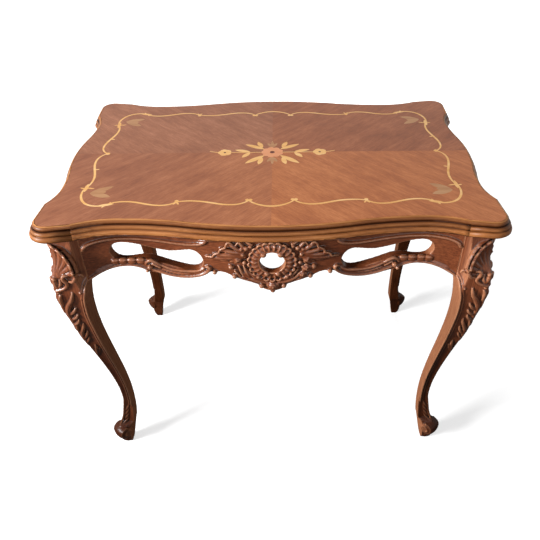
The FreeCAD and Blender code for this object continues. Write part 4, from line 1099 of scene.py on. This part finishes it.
def thinned(piece, inward):
    """Keeps only a share of the faces that look inward."""
    pick(piece)
    bpy.ops.object.mode_set(mode="EDIT")
    bpy.ops.mesh.select_mode(type="VERT")
    bpy.ops.mesh.select_all(action="DESELECT")
    bpy.ops.object.mode_set(mode="OBJECT")
    for vertex in piece.data.vertices:
        vertex.select = vertex.normal.dot(inward) > BACK_FACING
    bpy.ops.object.mode_set(mode="EDIT")
    bpy.ops.mesh.decimate(ratio=BACK_SHARE)
    bpy.ops.object.mode_set(mode="OBJECT")
    print(piece.name, "has", sum(len(face.vertices) - 2 for face in piece.data.polygons), "triangles")


# %% [markdown]
# One long and one short apron are carved. The back and left ones are copies of them, turned by half a turn,
# which is the same as a mirror along both axes. Then every carved piece takes the place of its solid.

# %% Carve and turn the aprons
APRON_VOXEL = 1.15
HALF_TURN = (-1, -1, 1)
long_design = design(on_long_apron, lambda along: along)
front_blank = blank("apron_front", "carved_apron_front")
bevelled(front_blank, on_long_apron(0, WREATH_HEIGHT, 0), FRONT)
front_apron = carved(front_blank, long_design, APRON_VOXEL)
thinned(front_apron, -FRONT)
short_design = design(on_short_apron, squeezed)
right_blank = blank("apron_right", "carved_apron_right")
bevelled(right_blank, on_short_apron(0, WREATH_HEIGHT, 0), RIGHT)
right_apron = carved(right_blank, short_design, APRON_VOXEL)
back_apron = mirrored(front_apron, "carved_apron_back", HALF_TURN)
left_apron = mirrored(right_apron, "carved_apron_left", HALF_TURN)

# %% Put the carved pieces in the places of their solids
for corner, piece in carved_legs.items():
    place(piece, "leg_" + corner, "carved_walnut", upright_walnut)
carved_aprons = {"front": (front_apron, long_walnut), "back": (back_apron, long_walnut),
                 "right": (right_apron, short_walnut), "left": (left_apron, short_walnut)}
for side, (piece, wood) in carved_aprons.items():
    place(piece, "apron_" + side, "carved_walnut", wood)
print("carved pieces in place:", len(carved_legs) + len(carved_aprons))

# %% [markdown]
# ## Studio
# A pale floor that keeps the shadow, in a white room. The camera sees the floor as white paper, but the
# wood is not lit from below by it, and only the far part of it is mirrored in the polish.

# %% Floor
bpy.ops.object.select_all(action="DESELECT")
bpy.ops.mesh.primitive_plane_add(size=40)
floor = bpy.context.object
floor.name = "floor"
paper, tree, shader = finish("pale_paper")
shader.inputs["Roughness"].default_value = 1.0
shader.inputs["Specular IOR Level"].default_value = 0.0
shader.inputs["Emission Color"].default_value = linear("#ffffff")
rays = add(tree, "LightPath")
paper_tone = add(tree, "Mix", {COLOUR_A: linear("#5a5a5a"), COLOUR_B: linear("#c8c8c8")},
                 {SHARE: (rays, "Is Camera Ray")}, data_type="RGBA")
tree.links.new(paper_tone.outputs[COLOUR_OUT], shader.inputs["Base Color"])
# metres from the middle of the table
object_space = add(tree, "TexCoord")
reach = add(tree, "VectorMath", {}, {0: (object_space, "Object")}, operation="LENGTH")
# far from the table the paper turns into the white of the room
glow = add(tree, "MapRange", {"From Min": 0.5, "From Max": 1.6, "To Min": 0.6, "To Max": 1.0},
           {"Value": (reach, "Value")})
lit = add(tree, "Math", {}, {0: (glow, 0), 1: (rays, "Is Camera Ray")}, operation="MULTIPLY")
far = add(tree, "MapRange", {"From Min": 1.2, "From Max": 2.5}, {"Value": (reach, "Value")})
bounced = add(tree, "Math", {}, {0: (rays, "Is Glossy Ray"), 1: (rays, "Is Transmission Ray")},
              operation="MAXIMUM")
mirrored_far = add(tree, "Math", {}, {0: (far, 0), 1: (bounced, 0)}, operation="MULTIPLY")
strength = add(tree, "Math", {}, {0: (lit, 0), 1: (mirrored_far, 0)}, operation="MAXIMUM")
tree.links.new(strength.outputs[0], shader.inputs["Emission Strength"])
floor.data.materials.append(paper)
print("floor is", round(floor.dimensions.x), "m wide")

# %% [markdown]
# The room is white to the camera and in reflections, and lights the table only weakly. A soft window on the
# left gives most of the light, as in the photograph, and weak lamps in front, above and behind fill the
# shadows.

# %% Room and lights
ROOM_LIGHT = 0.22
room = bpy.data.worlds.new("white_room")
room.use_nodes = True
bpy.context.scene.world = room
tree = room.node_tree
background = tree.nodes["Background"]
background.inputs["Color"].default_value = linear("#ffffff")
rays = add(tree, "LightPath")
seen = add(tree, "Math", {}, {0: (rays, "Is Camera Ray"), 1: (rays, "Is Glossy Ray")}, operation="MAXIMUM")
white = add(tree, "Math", {}, {0: (seen, 0), 1: (rays, "Is Transmission Ray")}, operation="MAXIMUM")
strength = add(tree, "MapRange", {"To Min": ROOM_LIGHT, "To Max": 1.0}, {"Value": (white, 0)})
tree.links.new(strength.outputs[0], background.inputs["Strength"])
TABLE_MIDDLE = Vector((0, 0, 0.4))


def window(name, spot, size, power):
    """Square soft light that faces the table, with its size in metres and its power in watts."""
    bpy.ops.object.light_add(type="AREA", location=spot)
    lamp = bpy.context.object
    lamp.name = name
    lamp.rotation_euler = (TABLE_MIDDLE - Vector(spot)).to_track_quat("-Z", "Y").to_euler()
    lamp.data.size = size
    lamp.data.energy = power


window("left_window", (-2.5, -1.3, 1.3), 0.8, 195)
window("front_fill", (0.3, -2.6, 1.2), 1.5, 18)
window("ceiling", (-0.5, -0.2, 2.6), 1.2, 5)
window("back_fill", (0.2, 2.6, 0.3), 0.5, 30)
print("lamps:", len(bpy.data.lights))

# %% [markdown]
# The camera stands in front of the table, less than half a metre above its top, and looks down. Its place,
# turn and lens were worked out from the perspective of the table, and its shift from the picture's framing.

# %% Camera
bpy.ops.object.camera_add(location=(0.01605, -0.91922, 1.04692), rotation=(0.91079, 0.00379, -0.01344))
camera = bpy.context.object
camera.data.sensor_width = 36.0
camera.data.lens = 37.2
camera.data.shift_x = -0.0315
camera.data.shift_y = -0.0198
scene = bpy.context.scene
scene.camera = camera
scene.view_settings.view_transform = "Standard"
print("camera looks down by", round(90 - math.degrees(camera.rotation_euler.x)), "degrees")
